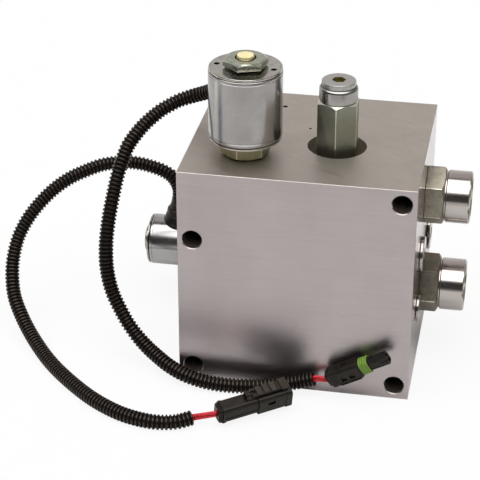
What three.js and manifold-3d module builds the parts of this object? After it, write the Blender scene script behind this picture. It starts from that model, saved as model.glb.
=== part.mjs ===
// Hydraulic solenoid directional valve: an aluminium manifold block with two solenoid cartridge
// valves, a pressure relief cartridge, two port adapters, three plugs and two loomed leads.
// Millimetres, +Z up, +X to the right, +Y to the back; the origin is the centre of the block's base.
import * as THREE from 'three';
import { mergeVertices } from 'three/addons/utils/BufferGeometryUtils.js';
import Module from 'manifold-3d';

const wasm = await Module();
wasm.setup();

// ---- driving dimensions ----
const GAP = 0.3;                    // clearance between pieces that touch
const RUN = 0.25;                   // radial clearance of a sliding piece
const TAU = 2 * Math.PI;
const FINE = 24;                    // facets round a coil can or an adapter
const ROUND = 18;                   // facets round a large round piece
const SMALL = 10;                   // facets round a small one
const BORE = 14;                    // facets round a bolt hole

const BLOCK = { width: 152.4, depth: 133.35, height: 152.4, chamfer: 0.8 };
const LEFT = -BLOCK.width / 2;
const RIGHT = BLOCK.width / 2;
const FRONT = -BLOCK.depth / 2;
const TOP = BLOCK.height;
const BOLT_HOLES = {
  radius: 6.35, chamfer: 0.6,
  places: [[-66.7, 104.8], [66.7, 142.2], [66.7, 10], [-66.7, 10.6]],
};
const DRILL_MARKS = [[-2.7, 12.7, 1.6], [-24.6, 44.4, 1.1]];

const PLACE_A = [-38.5, -30, TOP];
const PLACE_B = [LEFT, 42, 43.5];
const PLACE_RELIEF = [18.2, -10.5, TOP];
const PLACE_UPPER = [RIGHT, 8, 113.6];
const PLACE_LOWER = [RIGHT, 1, 51.5];

// A solenoid cartridge: heights run out from the block's face, along the cartridge's axis.
const SOLENOID_A = {
  hexFlats: 28.6, hexTop: 10.6, hexTurn: -100,
  canRadius: 23.7, canFoot: 13, canHead: 57.6, plate: 1.7, tubeRadius: 9.5,
  nutFlats: 25.4, nutFoot: 60.2, nutHead: 64.6, nutTurn: -100, neckRadius: 6, neckHead: 67.2,
  cavity: 13.4, nose: 10.8, depth: 72, buttonTravel: 2.5,
};
const SOLENOID_B = {
  hexFlats: 22.2, hexTop: 5.4, hexTurn: 0,
  canRadius: 17.75, canFoot: 7.4, canHead: 41.2, plate: 1.5, tubeRadius: 7.2,
  nutRadius: 9.5, nutFoot: 43.3, nutHead: 46.3, neckRadius: 4.6, neckHead: 45.2,
  cavity: 10.6, nose: 8.8, depth: 56,
};
const CAN_WALL = 1.6;
const GROOVE = 1.2;                 // depth of a cartridge's seal groove
const SEAL_WIRE = 0.66;             // half the seal's own thickness
const SEAL_LIFT = 0.08;             // clearance under a seal in its groove
const SPRING_WIRE = 0.6;

const RELIEF = {
  counterbore: 19.05, counterboreDepth: 12.5, hexFlats: 25.4, hexTop: 33.1, hexTurn: -86,
  capRadius: 12.5, capTop: 42.6, screwRadius: 11.08, screwTop: 46.5, screwFoot: 36.5,
  socketFlats: 8, socketDepth: 6, cavity: 11.4, nose: 10.4, depth: 74, bore: 7.4,
};
const ADAPTER = {
  hexFlats: 34.93, hexLength: 12.7, length: 29.5, barrel: 17.45, threadBore: 12.2, throughBore: 8,
  boss: 12.9, bossLength: 15, groove: 16.2, turnUpper: -127, turnLower: -138,
};
const PLUGS = [
  { name: 'port_plug_middle', y: -17, z: 82, radius: 12, head: 2.5, drill: 5, reach: -26 },
  { name: 'port_plug_front', y: -28.6, z: 48, radius: 9, head: 2.3, drill: 3.5, reach: -38.5 },
  { name: 'port_plug_rear', y: 36, z: 70, radius: 11, head: 2.6, drill: 5, reach: -10 },
];
const PLUG_BOSS = 0.74;             // threaded boss radius over head radius
const PLUG_DEPTH = 11;

const LOOM_RADIUS = 5;
const WIRE_RADIUS = 1.1;
const WIRE_SPREAD = 1.25;           // each wire's distance from the lead's centre line
const WIRE_LEAD = 1;                // straight start of a wire at either end
const REAR_CAP = 2.2;               // length of a connector's rear cap
const BOOT_A = { turn: 120, z: 27.6, foot: 22, end: 36 };
const BOOT_B = { reach: 22.3, end: 34.8, foot: 15 };

// Leads: hand-laid routes, from the coil's boot to the loom's cut end.
const ROUTE_A = [
  [-56.8, 1.6, 180], [-60.2, 7.5, 179.6], [-65.6, 13, 176], [-73.2, 16.8, 171], [-82.8, 18, 167],
  [-91.5, 16.6, 163.8], [-98.2, 13.5, 160.7], [-104.6, 10, 157], [-112.5, 3, 150.8], [-118.1, -4, 144.6],
  [-122.1, -10.5, 138], [-125.7, -19.5, 125.2], [-128.2, -27, 110.6], [-130.2, -33, 95.6], [-131.2, -38, 80],
  [-130.4, -41.5, 63.7], [-126.3, -44.6, 47.4], [-118.2, -48.4, 32.4], [-112.1, -51.6, 24.8],
  [-105.6, -55.3, 19.2], [-98.5, -59.9, 15.3], [-91.2, -65, 12.9], [-83, -70.5, 10.7], [-72.1, -75.4, 8.2],
  [-60.4, -77.9, 6.2], [-48.8, -78.9, 5.3], [-37.4, -78.7, 5.1], [-26.4, -77.3, 5.2], [-15.8, -75.4, 5.8],
  [-7, -74.2, 7], [3, -73.6, 9.4], [15.4, -73.4, 13.4],
];
const ROUTE_B = [
  [-98.5, 42, 78.9], [-98.6, 42, 84], [-100.4, 42, 89.3], [-104.4, 42, 94.2], [-110.4, 41.8, 97.8],
  [-117.6, 41.2, 100.4], [-125.9, 40, 102.6], [-136, 37.8, 103.8], [-150.2, 34, 102.6], [-162.2, 30, 98.7],
  [-174, 25, 93.4], [-185.7, 19, 84.8], [-197.1, 11, 72], [-204.4, 3, 58.6], [-206.8, -6, 46],
  [-205.8, -15, 35.3], [-201.6, -25.5, 25], [-193.4, -37, 16.6], [-183.6, -49, 10.2], [-172.2, -62.5, 6.2],
  [-161.6, -75, 5], [-150.1, -87.5, 5], [-137.5, -99.6, 5], [-126.6, -108.9, 5], [-115, -117, 5],
  [-101.8, -124, 5], [-88.7, -128, 5], [-76.7, -129, 5], [-65.6, -126.4, 5], [-56.4, -121, 5.6],
];
const TOWER = { rear: [26.2, -74.2, 16.2], nose: [63.4, -76, 37.4], roll: 12, shoulder: 21.6, end: 42.4 };
const SHROUD = { rear: [-39, -117.5, 9.5], nose: [2.4, -88.4, 12], roll: 14, step: 25, end: 48.4 };

// ---- materials ----
const finish = (color, roughness, metalness) => ({ color, roughness, metalness });
const ALUMINIUM = finish(0xa9a19c, 0.42, 0.9);
const ZINC = finish(0xb4b5b6, 0.28, 0.95);
const ZINC_MATTE = finish(0x96958c, 0.5, 0.9);
const STEEL = finish(0x8d8f92, 0.32, 1);
const BRASS = finish(0xe2cf8f, 0.4, 0.9);
const COPPER = finish(0xa65f38, 0.4, 0.9);
const SEAL = finish(0x141414, 0.8, 0);
const MOULDING = finish(0x1d1c1b, 0.55, 0);
const LOOM = finish(0x17130f, 0.45, 0);
const RED = finish(0xc3202c, 0.45, 0);
const GREEN = finish(0x7e9a3a, 0.6, 0);

// ---- solids ----
function closedTriangles(index) {
  const kept = [];
  for (let i = 0; i < index.length; i += 3) {
    const [a, b, c] = [index[i], index[i + 1], index[i + 2]];
    if (a !== b && b !== c && c !== a) kept.push([a, b, c]);
  }
  return kept;
}

function signedVolume(position, triangles) {
  const corner = (i) => new THREE.Vector3().fromArray(position, 3 * i);
  const share = ([a, b, c]) => corner(a).dot(corner(b).cross(corner(c))) / 6;
  return triangles.reduce((sum, triangle) => sum + share(triangle), 0);
}

// A closed geometry as a solid, its faces turned outward.
function solid(geometry) {
  const bare = geometry.clone();
  bare.deleteAttribute('normal');
  bare.deleteAttribute('uv');
  const welded = mergeVertices(bare, 1e-4);
  const vertProperties = new Float32Array(welded.attributes.position.array);
  const triangles = closedTriangles(welded.index.array);
  if (signedVolume(vertProperties, triangles) < 0) triangles.forEach((triangle) => triangle.reverse());
  const triVerts = new Uint32Array(triangles.flat());
  return new wasm.Manifold(new wasm.Mesh({ numProp: 3, vertProperties, triVerts }));
}

function geometryOf(body) {
  const { vertProperties, triVerts } = body.getMesh();
  const geometry = new THREE.BufferGeometry();
  geometry.setAttribute('position', new THREE.BufferAttribute(new Float32Array(vertProperties), 3));
  geometry.setIndex(new THREE.BufferAttribute(new Uint32Array(triVerts), 1));
  geometry.computeVertexNormals();
  return geometry;
}

const cut = (body, ...tools) => tools.reduce((left, tool) => left.subtract(tool), body);
const join = (body, ...others) => others.reduce((sum, other) => sum.add(other), body);

// A profile of [radius, height] pairs turned about +Z.
function turned(profile, facets = ROUND) {
  const points = profile.map(([radius, height]) => new THREE.Vector2(radius, height));
  return solid(new THREE.LatheGeometry(points, facets).rotateX(Math.PI / 2));
}

function cylinder(radius, foot, head, facets = ROUND) {
  return turned([[0, foot], [radius, foot], [radius, head], [0, head]], facets);
}

function ring(inner, outer, foot, head, facets = ROUND) {
  return turned([[inner, foot], [outer, foot], [outer, head], [inner, head], [inner, foot]], facets);
}

// A solid of revolution with a small chamfer on its outer edge at either end.
function chamferedRing(inner, outer, foot, head, footCut, headCut, facets = ROUND) {
  return turned([
    [inner, foot], [outer - footCut, foot], [outer, foot + footCut], [outer, head - headCut],
    [outer - headCut, head], [inner, head], [inner, foot],
  ], facets);
}

function torus(radius, wire, height) {
  const profile = [];
  for (let i = 0; i <= 4; i += 1) {
    const angle = (i % 4) * TAU / 4;
    profile.push([radius + wire * Math.cos(angle), height + wire * Math.sin(angle)]);
  }
  return turned(profile);
}

function prism(points, foot, head) {
  const shape = new THREE.Shape(points.map(([x, y]) => new THREE.Vector2(x, y)));
  const settings = { depth: head - foot, bevelEnabled: false };
  return solid(new THREE.ExtrudeGeometry(shape, settings).translate(0, 0, foot));
}

function hexPoints(flats, turn) {
  const corner = flats / Math.sqrt(3);
  const angles = [0, 1, 2, 3, 4, 5].map((i) => THREE.MathUtils.degToRad(turn + 60 * i));
  return angles.map((angle) => [corner * Math.cos(angle), corner * Math.sin(angle)]);
}

const hexBar = (flats, foot, head, turn) => prism(hexPoints(flats, turn), foot, head);

// A hexagon whose corners are taken off at 30 degrees at its foot and head where asked.
function chamferedHex(flats, foot, head, turn, atFoot = true, atHead = true) {
  const corner = flats / Math.sqrt(3) + 0.2;
  const face = flats * 0.475;
  const drop = (corner - face) * Math.tan(Math.PI / 6);
  const profile = [[0, foot]];
  if (atFoot) profile.push([face, foot], [corner, foot + drop]);
  else profile.push([corner, foot]);
  if (atHead) profile.push([corner, head - drop], [face, head]);
  else profile.push([corner, head]);
  profile.push([0, head]);
  return hexBar(flats, foot, head, turn).intersect(turned(profile));
}

// A cuboid section with rounded corners, drawn along +Z.
function roundedBar(width, depth, corner, foot, head) {
  const [w, d] = [width / 2 - corner, depth / 2 - corner];
  const shape = new THREE.Shape();
  shape.absarc(w, d, corner, 0, Math.PI / 2);
  shape.absarc(-w, d, corner, Math.PI / 2, Math.PI);
  shape.absarc(-w, -d, corner, Math.PI, 1.5 * Math.PI);
  shape.absarc(w, -d, corner, 1.5 * Math.PI, TAU);
  const settings = { depth: head - foot, bevelEnabled: false, curveSegments: 2 };
  return solid(new THREE.ExtrudeGeometry(shape, settings).translate(0, 0, foot));
}

const box = (size, centre) => solid(new THREE.BoxGeometry(...size).translate(...centre));

class Helix extends THREE.Curve {
  constructor(radius, foot, head, turns) {
    super();
    Object.assign(this, { radius, foot, head, turns });
  }

  getPoint(t, target = new THREE.Vector3()) {
    const angle = TAU * this.turns * t;
    const height = THREE.MathUtils.lerp(this.foot, this.head, t);
    return target.set(this.radius * Math.cos(angle), this.radius * Math.sin(angle), height);
  }
}

function tube(curve, radius, sides, steps) {
  const shape = new THREE.Shape();
  shape.setFromPoints(Array.from({ length: sides }, (_, i) => {
    const angle = i * TAU / sides;
    return new THREE.Vector2(radius * Math.cos(angle), radius * Math.sin(angle));
  }));
  return solid(new THREE.ExtrudeGeometry(shape, { steps, extrudePath: curve, bevelEnabled: false }));
}

const spring = (radius, foot, head, turns) => (
  tube(new Helix(radius, foot + SPRING_WIRE, head - SPRING_WIRE, turns), SPRING_WIRE, 4, 8 * turns)
);

// ---- placing ----
const valve = new THREE.Group();

function station(place, spinY = 0) {
  const group = new THREE.Group();
  group.position.set(...place);
  group.rotation.y = spinY;
  valve.add(group);
  group.updateMatrix();
  return group;
}

function add(group, name, body, { color, roughness, metalness }) {
  const material = new THREE.MeshStandardMaterial({ color, roughness, metalness });
  const mesh = new THREE.Mesh(geometryOf(body), material);
  mesh.name = name;
  group.add(mesh);
  return mesh;
}

// A tool drawn in a station's own frame, moved to the block's frame.
function atStation(group, body) {
  return solid(geometryOf(body).applyMatrix4(group.matrix));
}

const stationA = station(PLACE_A);
const stationB = station(PLACE_B, -Math.PI / 2);
const stationRelief = station(PLACE_RELIEF);
const stationUpper = station(PLACE_UPPER, Math.PI / 2);
const stationLower = station(PLACE_LOWER, Math.PI / 2);

// ---- manifold block ----
function blockBar() {
  const edge = BLOCK.chamfer;
  const [w, d, h] = [BLOCK.width / 2, BLOCK.depth / 2, BLOCK.height];
  const outline = [
    [w - edge, -d], [w, -d + edge], [w, d - edge], [w - edge, d],
    [-w + edge, d], [-w, d - edge], [-w, -d + edge], [-w + edge, -d],
  ];
  const side = [[-w, 0], [w, 0], [w, h - edge], [w - edge, h], [-w + edge, h], [-w, h - edge]];
  const end = [[d, 0], [d, h - edge], [d - edge, h], [-d + edge, h], [-d, h - edge], [-d, 0]];
  const alongY = solid(geometryOf(prism(side, -d - 1, d + 1)).rotateX(Math.PI / 2));
  const alongX = solid(geometryOf(prism(end, -w - 1, w + 1)).rotateX(Math.PI / 2).rotateZ(Math.PI / 2));
  return prism(outline, 0, h).intersect(alongY).intersect(alongX);
}

function boltHole([x, z]) {
  const { radius, chamfer } = BOLT_HOLES;
  const half = BLOCK.depth / 2;
  const mouth = radius + chamfer + 1;
  const bore = turned([
    [0, -half - 1], [mouth, -half - 1], [radius, -half + chamfer],
    [radius, half - chamfer], [mouth, half + 1], [0, half + 1],
  ], BORE);
  return solid(geometryOf(bore).rotateX(Math.PI / 2).translate(x, 0, z));
}

function cartridgeCavity({ cavity, nose, depth }) {
  return turned([
    [0, 1], [cavity + 1.6, 1], [cavity + GAP, -1], [cavity + GAP, -14], [nose + GAP, -17],
    [nose + GAP, -depth], [3, -depth - 4], [0, -depth - 4],
  ], ROUND);
}

function reliefCavity() {
  const { counterbore, counterboreDepth, cavity, nose, depth } = RELIEF;
  return turned([
    [0, 1], [counterbore, 1], [counterbore, -counterboreDepth], [cavity + GAP, -counterboreDepth],
    [cavity + GAP, -30], [nose + GAP, -33], [nose + GAP, -depth], [0, -depth - 4],
  ], ROUND);
}

function portCavity(gallery, reach) {
  const { boss, bossLength } = ADAPTER;
  return turned([
    [0, 1], [boss + 2.6, 1], [boss + 2.6, -2.4], [boss + GAP, -2.4], [boss + GAP, -bossLength - 3],
    [gallery, -bossLength - 7], [gallery, -reach], [0, -reach - 3],
  ], ROUND);
}

function plugCavity(plug) {
  const boss = plug.radius * PLUG_BOSS + GAP;
  const reach = RIGHT - plug.reach;
  const bore = turned([
    [0, 1], [boss, 1], [boss, -PLUG_DEPTH - 2], [plug.drill, -PLUG_DEPTH - 5],
    [plug.drill, -reach], [0, -reach - 2],
  ], ROUND);
  return solid(geometryOf(bore).rotateY(Math.PI / 2).translate(RIGHT, plug.y, plug.z));
}

function manifoldBlock() {
  const marks = DRILL_MARKS.map(([x, y, radius]) => (
    solid(geometryOf(turned([[0, -5.6], [radius, -5], [radius, 1], [0, 1]], 8)).translate(x, y, TOP))
  ));
  const pilot = solid(geometryOf(cylinder(3.5, -110, -70, 8)).translate(...PLACE_A));
  return cut(
    blockBar(),
    ...BOLT_HOLES.places.map(boltHole),
    atStation(stationA, cartridgeCavity(SOLENOID_A)),
    atStation(stationB, cartridgeCavity(SOLENOID_B)),
    atStation(stationRelief, reliefCavity()),
    atStation(stationUpper, portCavity(8, 70)),
    atStation(stationLower, portCavity(8, 84)),
    ...PLUGS.map(plugCavity),
    pilot,
    ...marks,
  );
}

add(valve, 'manifold_block', manifoldBlock(), ALUMINIUM);

// ---- solenoid cartridges ----
// Hex, threaded stretch and ported nose in one turned body, bored through for the spool.
function cartridgeBody(size, spoolRadius) {
  const { hexFlats, hexTop, hexTurn, cavity, nose, depth } = size;
  const hex = chamferedHex(hexFlats, GAP, hexTop, hexTurn, false, true);
  const stem = turned([
    [0, GAP], [cavity, GAP], [cavity, -14], [nose, -16.5], [nose, -20], [nose - GROOVE, -20],
    [nose - GROOVE, -23], [nose, -23], [nose, -depth + 8], [nose - 1.5, -depth + 6],
    [nose - 1.5, -depth + 2], [0, -depth + 2],
  ]);
  const bore = cylinder(spoolRadius, -depth, hexTop + 1, SMALL);
  const port = box([3 * nose, 5, 5], [0, 0, -36]);
  return cut(join(hex, stem), bore, port);
}

// Thin tube that the armature slides in, closed by a neck that takes the coil nut.
function guideTube(size, bore, pinRadius) {
  const { hexTop, tubeRadius, nutFoot, neckRadius, neckHead } = size;
  const shell = turned([
    [0, hexTop + GAP], [tubeRadius, hexTop + GAP], [tubeRadius, nutFoot - 4],
    [tubeRadius - 1, nutFoot - 3], [neckRadius, nutFoot - 3], [neckRadius, neckHead - 1],
    [neckRadius - 0.6, neckHead], [0, neckHead],
  ], SMALL);
  const armatureBore = cylinder(bore, hexTop, nutFoot - 9, SMALL);
  const pinBore = cylinder(pinRadius + RUN, nutFoot - 10, neckHead + 1, SMALL);
  return cut(shell, armatureBore, pinBore);
}

// Open-ended can with rolled rims, and the two steel plates that close it.
function coilCan({ canRadius, canFoot, canHead }) {
  const rim = 0.8;
  const inner = canRadius - CAN_WALL;
  return turned([
    [inner, canFoot], [canRadius - rim, canFoot], [canRadius, canFoot + rim], [canRadius, canHead - rim],
    [canRadius - rim, canHead], [inner, canHead], [inner, canFoot],
  ], FINE);
}

function coilPlate({ canRadius, tubeRadius, plate }, foot, footCut, headCut) {
  return chamferedRing(tubeRadius + GAP, canRadius - 0.3, foot, foot + plate, footCut, headCut, FINE);
}

function bobbin({ canRadius, canFoot, canHead, tubeRadius }) {
  const outer = canRadius - CAN_WALL - GAP;
  const inner = tubeRadius + GAP;
  const [foot, head] = [canFoot + GAP, canHead - GAP];
  return turned([
    [inner, foot], [outer, foot], [outer, foot + 2], [inner + 1.2, foot + 2], [inner + 1.2, head - 2],
    [outer, head - 2], [outer, head], [inner, head], [inner, foot],
  ]);
}

function winding({ canRadius, canFoot, canHead, tubeRadius }) {
  const inner = tubeRadius + 2 * GAP + 1.2;
  return ring(inner, canRadius - CAN_WALL - 1.2, canFoot + 2 + 2 * GAP, canHead - 2 - 2 * GAP);
}

// Armature with a drilled pressure-balance passage, resting on its spring.
function armature(radius, foot, head) {
  return cut(
    chamferedRing(1.2, radius, foot, head, 0.6, 0.6, SMALL),
    box([1.2, 2.4 * radius, head - foot + 2], [radius, 0, (foot + head) / 2]),
  );
}

// Spool with three lands and a stem up to the armature.
function spool(radius, foot, head, stemHead) {
  const span = (head - foot) / 5;
  const neck = radius * 0.62;
  const profile = [[0, foot]];
  for (let i = 0; i < 5; i += 1) {
    const land = i % 2 === 0 ? radius : neck;
    profile.push([land, foot + i * span], [land, foot + (i + 1) * span]);
  }
  profile.push([neck * 0.6, head], [neck * 0.6, stemHead], [0, stemHead]);
  return turned(profile, SMALL);
}

const SPOOL_A = { radius: 5.6, armature: 7.4 };
const SPOOL_B = { radius: 4.6, armature: 5.3 };

function addSolenoid(group, letter, size, spoolSize) {
  const { hexTop, nutFoot, depth, canFoot, canHead, plate, nose, tubeRadius } = size;
  const armatureFoot = hexTop + 7;
  const armatureHead = nutFoot - 13;
  const springFoot = hexTop + 0.9;
  const springHead = armatureFoot - GAP;
  const name = (piece) => `${piece}_${letter}`;
  add(group, name('cartridge_body'), cartridgeBody(size, spoolSize.radius + RUN), ZINC_MATTE);
  add(group, name('cartridge_seal'), torus(nose - GROOVE + SEAL_WIRE + SEAL_LIFT, SEAL_WIRE, -21.5), SEAL);
  add(group, name('coil_base_plate'), coilPlate(size, canFoot - GAP - plate, 0.6, 0.2), ZINC);
  add(group, name('coil_can'), coilCan(size), ZINC);
  add(group, name('bobbin'), bobbin(size), MOULDING);
  add(group, name('winding'), winding(size), COPPER);
  add(group, name('armature'), armature(spoolSize.armature, armatureFoot, armatureHead), STEEL);
  add(group, name('spool'), spool(spoolSize.radius, -depth + 10, -14, armatureFoot - GAP), STEEL);
  add(group, name('return_spring'), spring(spoolSize.armature - 1.6, springFoot, springHead, 3), STEEL);
  return { topPlateFoot: canHead + GAP, tubeBore: tubeRadius - 1.2 };
}

const solenoidA = addSolenoid(stationA, 'a', SOLENOID_A, SPOOL_A);
const solenoidB = addSolenoid(stationB, 'b', SOLENOID_B, SPOOL_B);

function topPlateA() {
  const plate = coilPlate(SOLENOID_A, solenoidA.topPlateFoot, 0.2, 0.9);
  const pinHole = (turn) => {
    const angle = THREE.MathUtils.degToRad(turn);
    const hole = geometryOf(cylinder(1.5, 50, 70, 12));
    return solid(hole.translate(18.6 * Math.cos(angle), 18.6 * Math.sin(angle), 0));
  };
  return cut(plate, pinHole(178), pinHole(-8));
}

const BUTTON_RADIUS = 4.9;
const PIN_RADIUS = 2.2;
function overrideButton() {
  const { neckHead, nutFoot } = SOLENOID_A;
  return turned([
    [0, nutFoot - 12.6], [PIN_RADIUS, nutFoot - 12.6], [PIN_RADIUS, neckHead - 4.2],
    [BUTTON_RADIUS, neckHead - 4.2], [BUTTON_RADIUS, neckHead + 0.1], [BUTTON_RADIUS - 0.5, neckHead + 0.6],
    [0, neckHead + 0.6],
  ], SMALL);
}

function guideTubeA() {
  const { neckHead, buttonTravel } = SOLENOID_A;
  const recess = cylinder(BUTTON_RADIUS + RUN, neckHead - 4.4 - buttonTravel - 0.3, neckHead + 1, SMALL);
  return cut(guideTube(SOLENOID_A, solenoidA.tubeBore, PIN_RADIUS), recess);
}

add(stationA, 'guide_tube_a', guideTubeA(), ZINC);
add(stationA, 'coil_top_plate_a', topPlateA(), ZINC);
add(stationA, 'override_button', overrideButton(), BRASS);

function nutA() {
  const { nutFlats, nutFoot, nutHead, nutTurn, neckRadius } = SOLENOID_A;
  const washerFace = cylinder(11.2, nutFoot, nutFoot + 0.8);
  const hex = chamferedHex(nutFlats, nutFoot + 0.6, nutHead, nutTurn, false, true);
  return cut(join(washerFace, hex), cylinder(neckRadius + 0.8, nutFoot - 1, nutHead + 1, SMALL));
}

add(stationA, 'coil_nut_a', nutA(), ZINC);

// The smaller coil's tube ends inside a low round nut with a key socket.
function nutB() {
  const { nutRadius, nutFoot, nutHead, neckRadius } = SOLENOID_B;
  const disc = chamferedRing(0, nutRadius, nutFoot, nutHead, 0.3, 1);
  return cut(disc, cylinder(neckRadius + GAP, nutFoot - 1, nutHead + 1, SMALL));
}

add(stationB, 'guide_tube_b', guideTube(SOLENOID_B, solenoidB.tubeBore, 1.5), ZINC);
add(stationB, 'coil_top_plate_b', coilPlate(SOLENOID_B, solenoidB.topPlateFoot, 0.2, 0.8), ZINC);
add(stationB, 'coil_nut_b', nutB(), ZINC);

// ---- lead boots ----
// Boot A is drawn out along the radius it leaves the can on; boot B rises from its can's top line.
function bootA() {
  const { foot, end, z, turn } = BOOT_A;
  const cone = turned([
    [0, foot], [8.6, foot], [8.2, 27.4], [6.6, 28.4], [6.2, 32.2], [5.6, 33.2], [5.4, end], [0, end],
  ], SMALL);
  const placed = geometryOf(cone).rotateY(Math.PI / 2).rotateZ(THREE.MathUtils.degToRad(turn));
  return cut(solid(placed.translate(0, 0, z)), cylinder(SOLENOID_A.canRadius + GAP, 0, 80, FINE));
}

function bootB() {
  const { reach, foot, end } = BOOT_B;
  const cone = turned([
    [0, foot], [11.4, foot], [11.2, 18.8], [8.4, 26.6], [6.8, 27], [5.4, 33.2], [5.2, end], [0, end],
  ], SMALL);
  const placed = geometryOf(cone).rotateY(Math.PI / 2).translate(0, 0, reach);
  return cut(solid(placed), cylinder(SOLENOID_B.canRadius + GAP, -10, 80, FINE));
}

add(stationA, 'lead_boot_a', bootA(), MOULDING);
add(stationB, 'lead_boot_b', bootB(), MOULDING);

// ---- relief cartridge ----
const POPPET = { tip: -62, shoulder: -54, head: -44 };
const RELIEF_SPRING = { radius: 5.6, foot: POPPET.head + GAP, head: 4, turns: 7 };
const SPRING_PLATE = { foot: RELIEF_SPRING.head + GAP, flange: 9, stem: 3.4 };

function reliefBody() {
  const { counterboreDepth, hexFlats, hexTop, hexTurn, cavity, nose, depth, bore } = RELIEF;
  const foot = -counterboreDepth + GAP;
  const hex = chamferedHex(hexFlats, foot, hexTop, hexTurn, false, true);
  const stem = turned([
    [0, foot + 0.1], [cavity, foot + 0.1], [cavity, -29], [nose, -32], [nose, -36], [nose - GROOVE, -36],
    [nose - GROOVE, -39], [nose, -39], [nose, -depth + 2], [0, -depth + 2],
  ]);
  const springBore = cylinder(bore, POPPET.tip - 1, hexTop + 1, SMALL);
  const inlet = cylinder(4.6, -depth, POPPET.tip, SMALL);
  const drain = box([3 * nose, 5, 6], [0, 0, -48]);
  return cut(join(hex, stem), springBore, inlet, drain);
}

function reliefCap() {
  const { capRadius, capTop, hexTop, screwRadius } = RELIEF;
  const inner = screwRadius + RUN;
  return turned([
    [inner, hexTop + GAP], [capRadius, hexTop + GAP], [capRadius, capTop - 1.2],
    [capRadius - 0.4, capTop - 0.4], [capRadius - 1.1, capTop], [inner, capTop], [inner, hexTop + GAP],
  ]);
}

function adjuster() {
  const { screwRadius, screwFoot, screwTop, socketFlats, socketDepth } = RELIEF;
  const screw = chamferedRing(0, screwRadius, screwFoot, screwTop, 0.5, 0.5);
  return cut(screw, hexBar(socketFlats, screwTop - socketDepth, screwTop + 1, 15));
}

function springPlate() {
  const { bore, screwFoot } = RELIEF;
  const { foot, flange, stem } = SPRING_PLATE;
  return turned([
    [0, foot], [bore - RUN, foot], [bore - RUN, flange], [stem, flange], [stem, screwFoot - GAP],
    [0, screwFoot - GAP],
  ], SMALL);
}

function reliefSpring() {
  const { radius, foot, head, turns } = RELIEF_SPRING;
  return spring(radius, foot, head, turns);
}

function poppet() {
  const guide = RELIEF.bore - RUN;
  const { tip, shoulder, head } = POPPET;
  return turned([
    [0, tip + 3], [3, tip + 3.4], [5, shoulder], [guide, shoulder], [guide, head], [0, head],
  ], SMALL);
}

function reliefSeat() {
  const { tip } = POPPET;
  return ring(3.6, RELIEF.bore - GAP, tip - 0.7, tip + 2.6, SMALL);
}

add(stationRelief, 'relief_body', reliefBody(), ZINC_MATTE);
add(stationRelief, 'relief_cap', reliefCap(), ZINC);
add(stationRelief, 'relief_adjuster', adjuster(), ZINC);
add(stationRelief, 'relief_spring_plate', springPlate(), STEEL);
add(stationRelief, 'relief_spring', reliefSpring(), STEEL);
add(stationRelief, 'relief_poppet', poppet(), STEEL);
add(stationRelief, 'relief_seat', reliefSeat(), STEEL);
add(stationRelief, 'relief_seal', torus(RELIEF.nose - GROOVE + SEAL_WIRE + SEAL_LIFT, SEAL_WIRE, -37.5), SEAL);

// ---- port adapters and plugs ----
function portAdapter(turn) {
  const { hexFlats, hexLength, length, barrel, boss, bossLength, groove } = ADAPTER;
  const { threadBore, throughBore } = ADAPTER;
  const hex = chamferedHex(hexFlats, GAP, hexLength, turn, true, true);
  const body = turned([
    [0, -bossLength], [boss - 1, -bossLength], [boss, 1 - bossLength], [boss, -2.5],
    [boss - 0.8, -2.2], [boss - 0.8, GAP + 0.2], [groove, GAP + 0.2], [groove, hexLength + 0.7],
    [barrel, hexLength + 0.9], [barrel, length - 1.1], [barrel - 1.1, length], [0, length],
  ], FINE);
  const thread = turned([
    [0, 8], [throughBore, 8], [threadBore, 10], [threadBore, length - 1.4],
    [threadBore + 2, length + 0.6], [0, length + 0.6],
  ], ROUND);
  return cut(join(hex, body), thread, cylinder(throughBore, -bossLength - 1, 9, SMALL));
}

function addAdapter(group, place, turn) {
  add(group, `port_adapter_${place}`, portAdapter(turn), ZINC);
  add(group, `port_o_ring_${place}`, torus(ADAPTER.boss + 1, 1.1, -1.2), SEAL);
}

addAdapter(stationUpper, 'upper', ADAPTER.turnUpper);
addAdapter(stationLower, 'lower', ADAPTER.turnLower);

function portPlug({ radius, head }) {
  const boss = radius * PLUG_BOSS;
  const body = turned([
    [0, -PLUG_DEPTH], [boss - 1, -PLUG_DEPTH], [boss, 1 - PLUG_DEPTH], [boss, GAP], [radius, GAP],
    [radius, head - 0.7], [radius - 0.7, head], [0, head],
  ], ROUND);
  return cut(body, hexBar(radius * 0.8, head - 5.5, head + 1, 20));
}

PLUGS.forEach((plug) => {
  const group = station([RIGHT, plug.y, plug.z], Math.PI / 2);
  add(group, plug.name, portPlug(plug), ZINC);
});

// ---- leads ----
const vector = (point) => new THREE.Vector3(...point);

function lead(name, route, radius, sides, steps, material) {
  const curve = new THREE.CatmullRomCurve3(route.map(vector), false, 'centripetal');
  add(valve, name, tube(curve, radius, sides, steps), material);
}

lead('loom_a', ROUTE_A, LOOM_RADIUS, 8, 32, LOOM);
lead('loom_b', ROUTE_B, LOOM_RADIUS, 8, 34, LOOM);

// Group whose +Z runs from a connector's rear to its nose, rolled about that axis.
function connectorStation({ rear, nose, roll }) {
  const group = new THREE.Group();
  group.position.set(...rear);
  const along = vector(nose).sub(vector(rear)).normalize();
  const across = new THREE.Vector3(0, 0, 1).cross(along).normalize();
  const upright = along.clone().cross(across);
  const basis = new THREE.Matrix4().makeBasis(across, upright, along);
  group.quaternion.setFromRotationMatrix(basis);
  group.rotateZ(THREE.MathUtils.degToRad(roll));
  valve.add(group);
  group.updateMatrix();
  return group;
}

const towerStation = connectorStation(TOWER);
const shroudStation = connectorStation(SHROUD);

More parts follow.
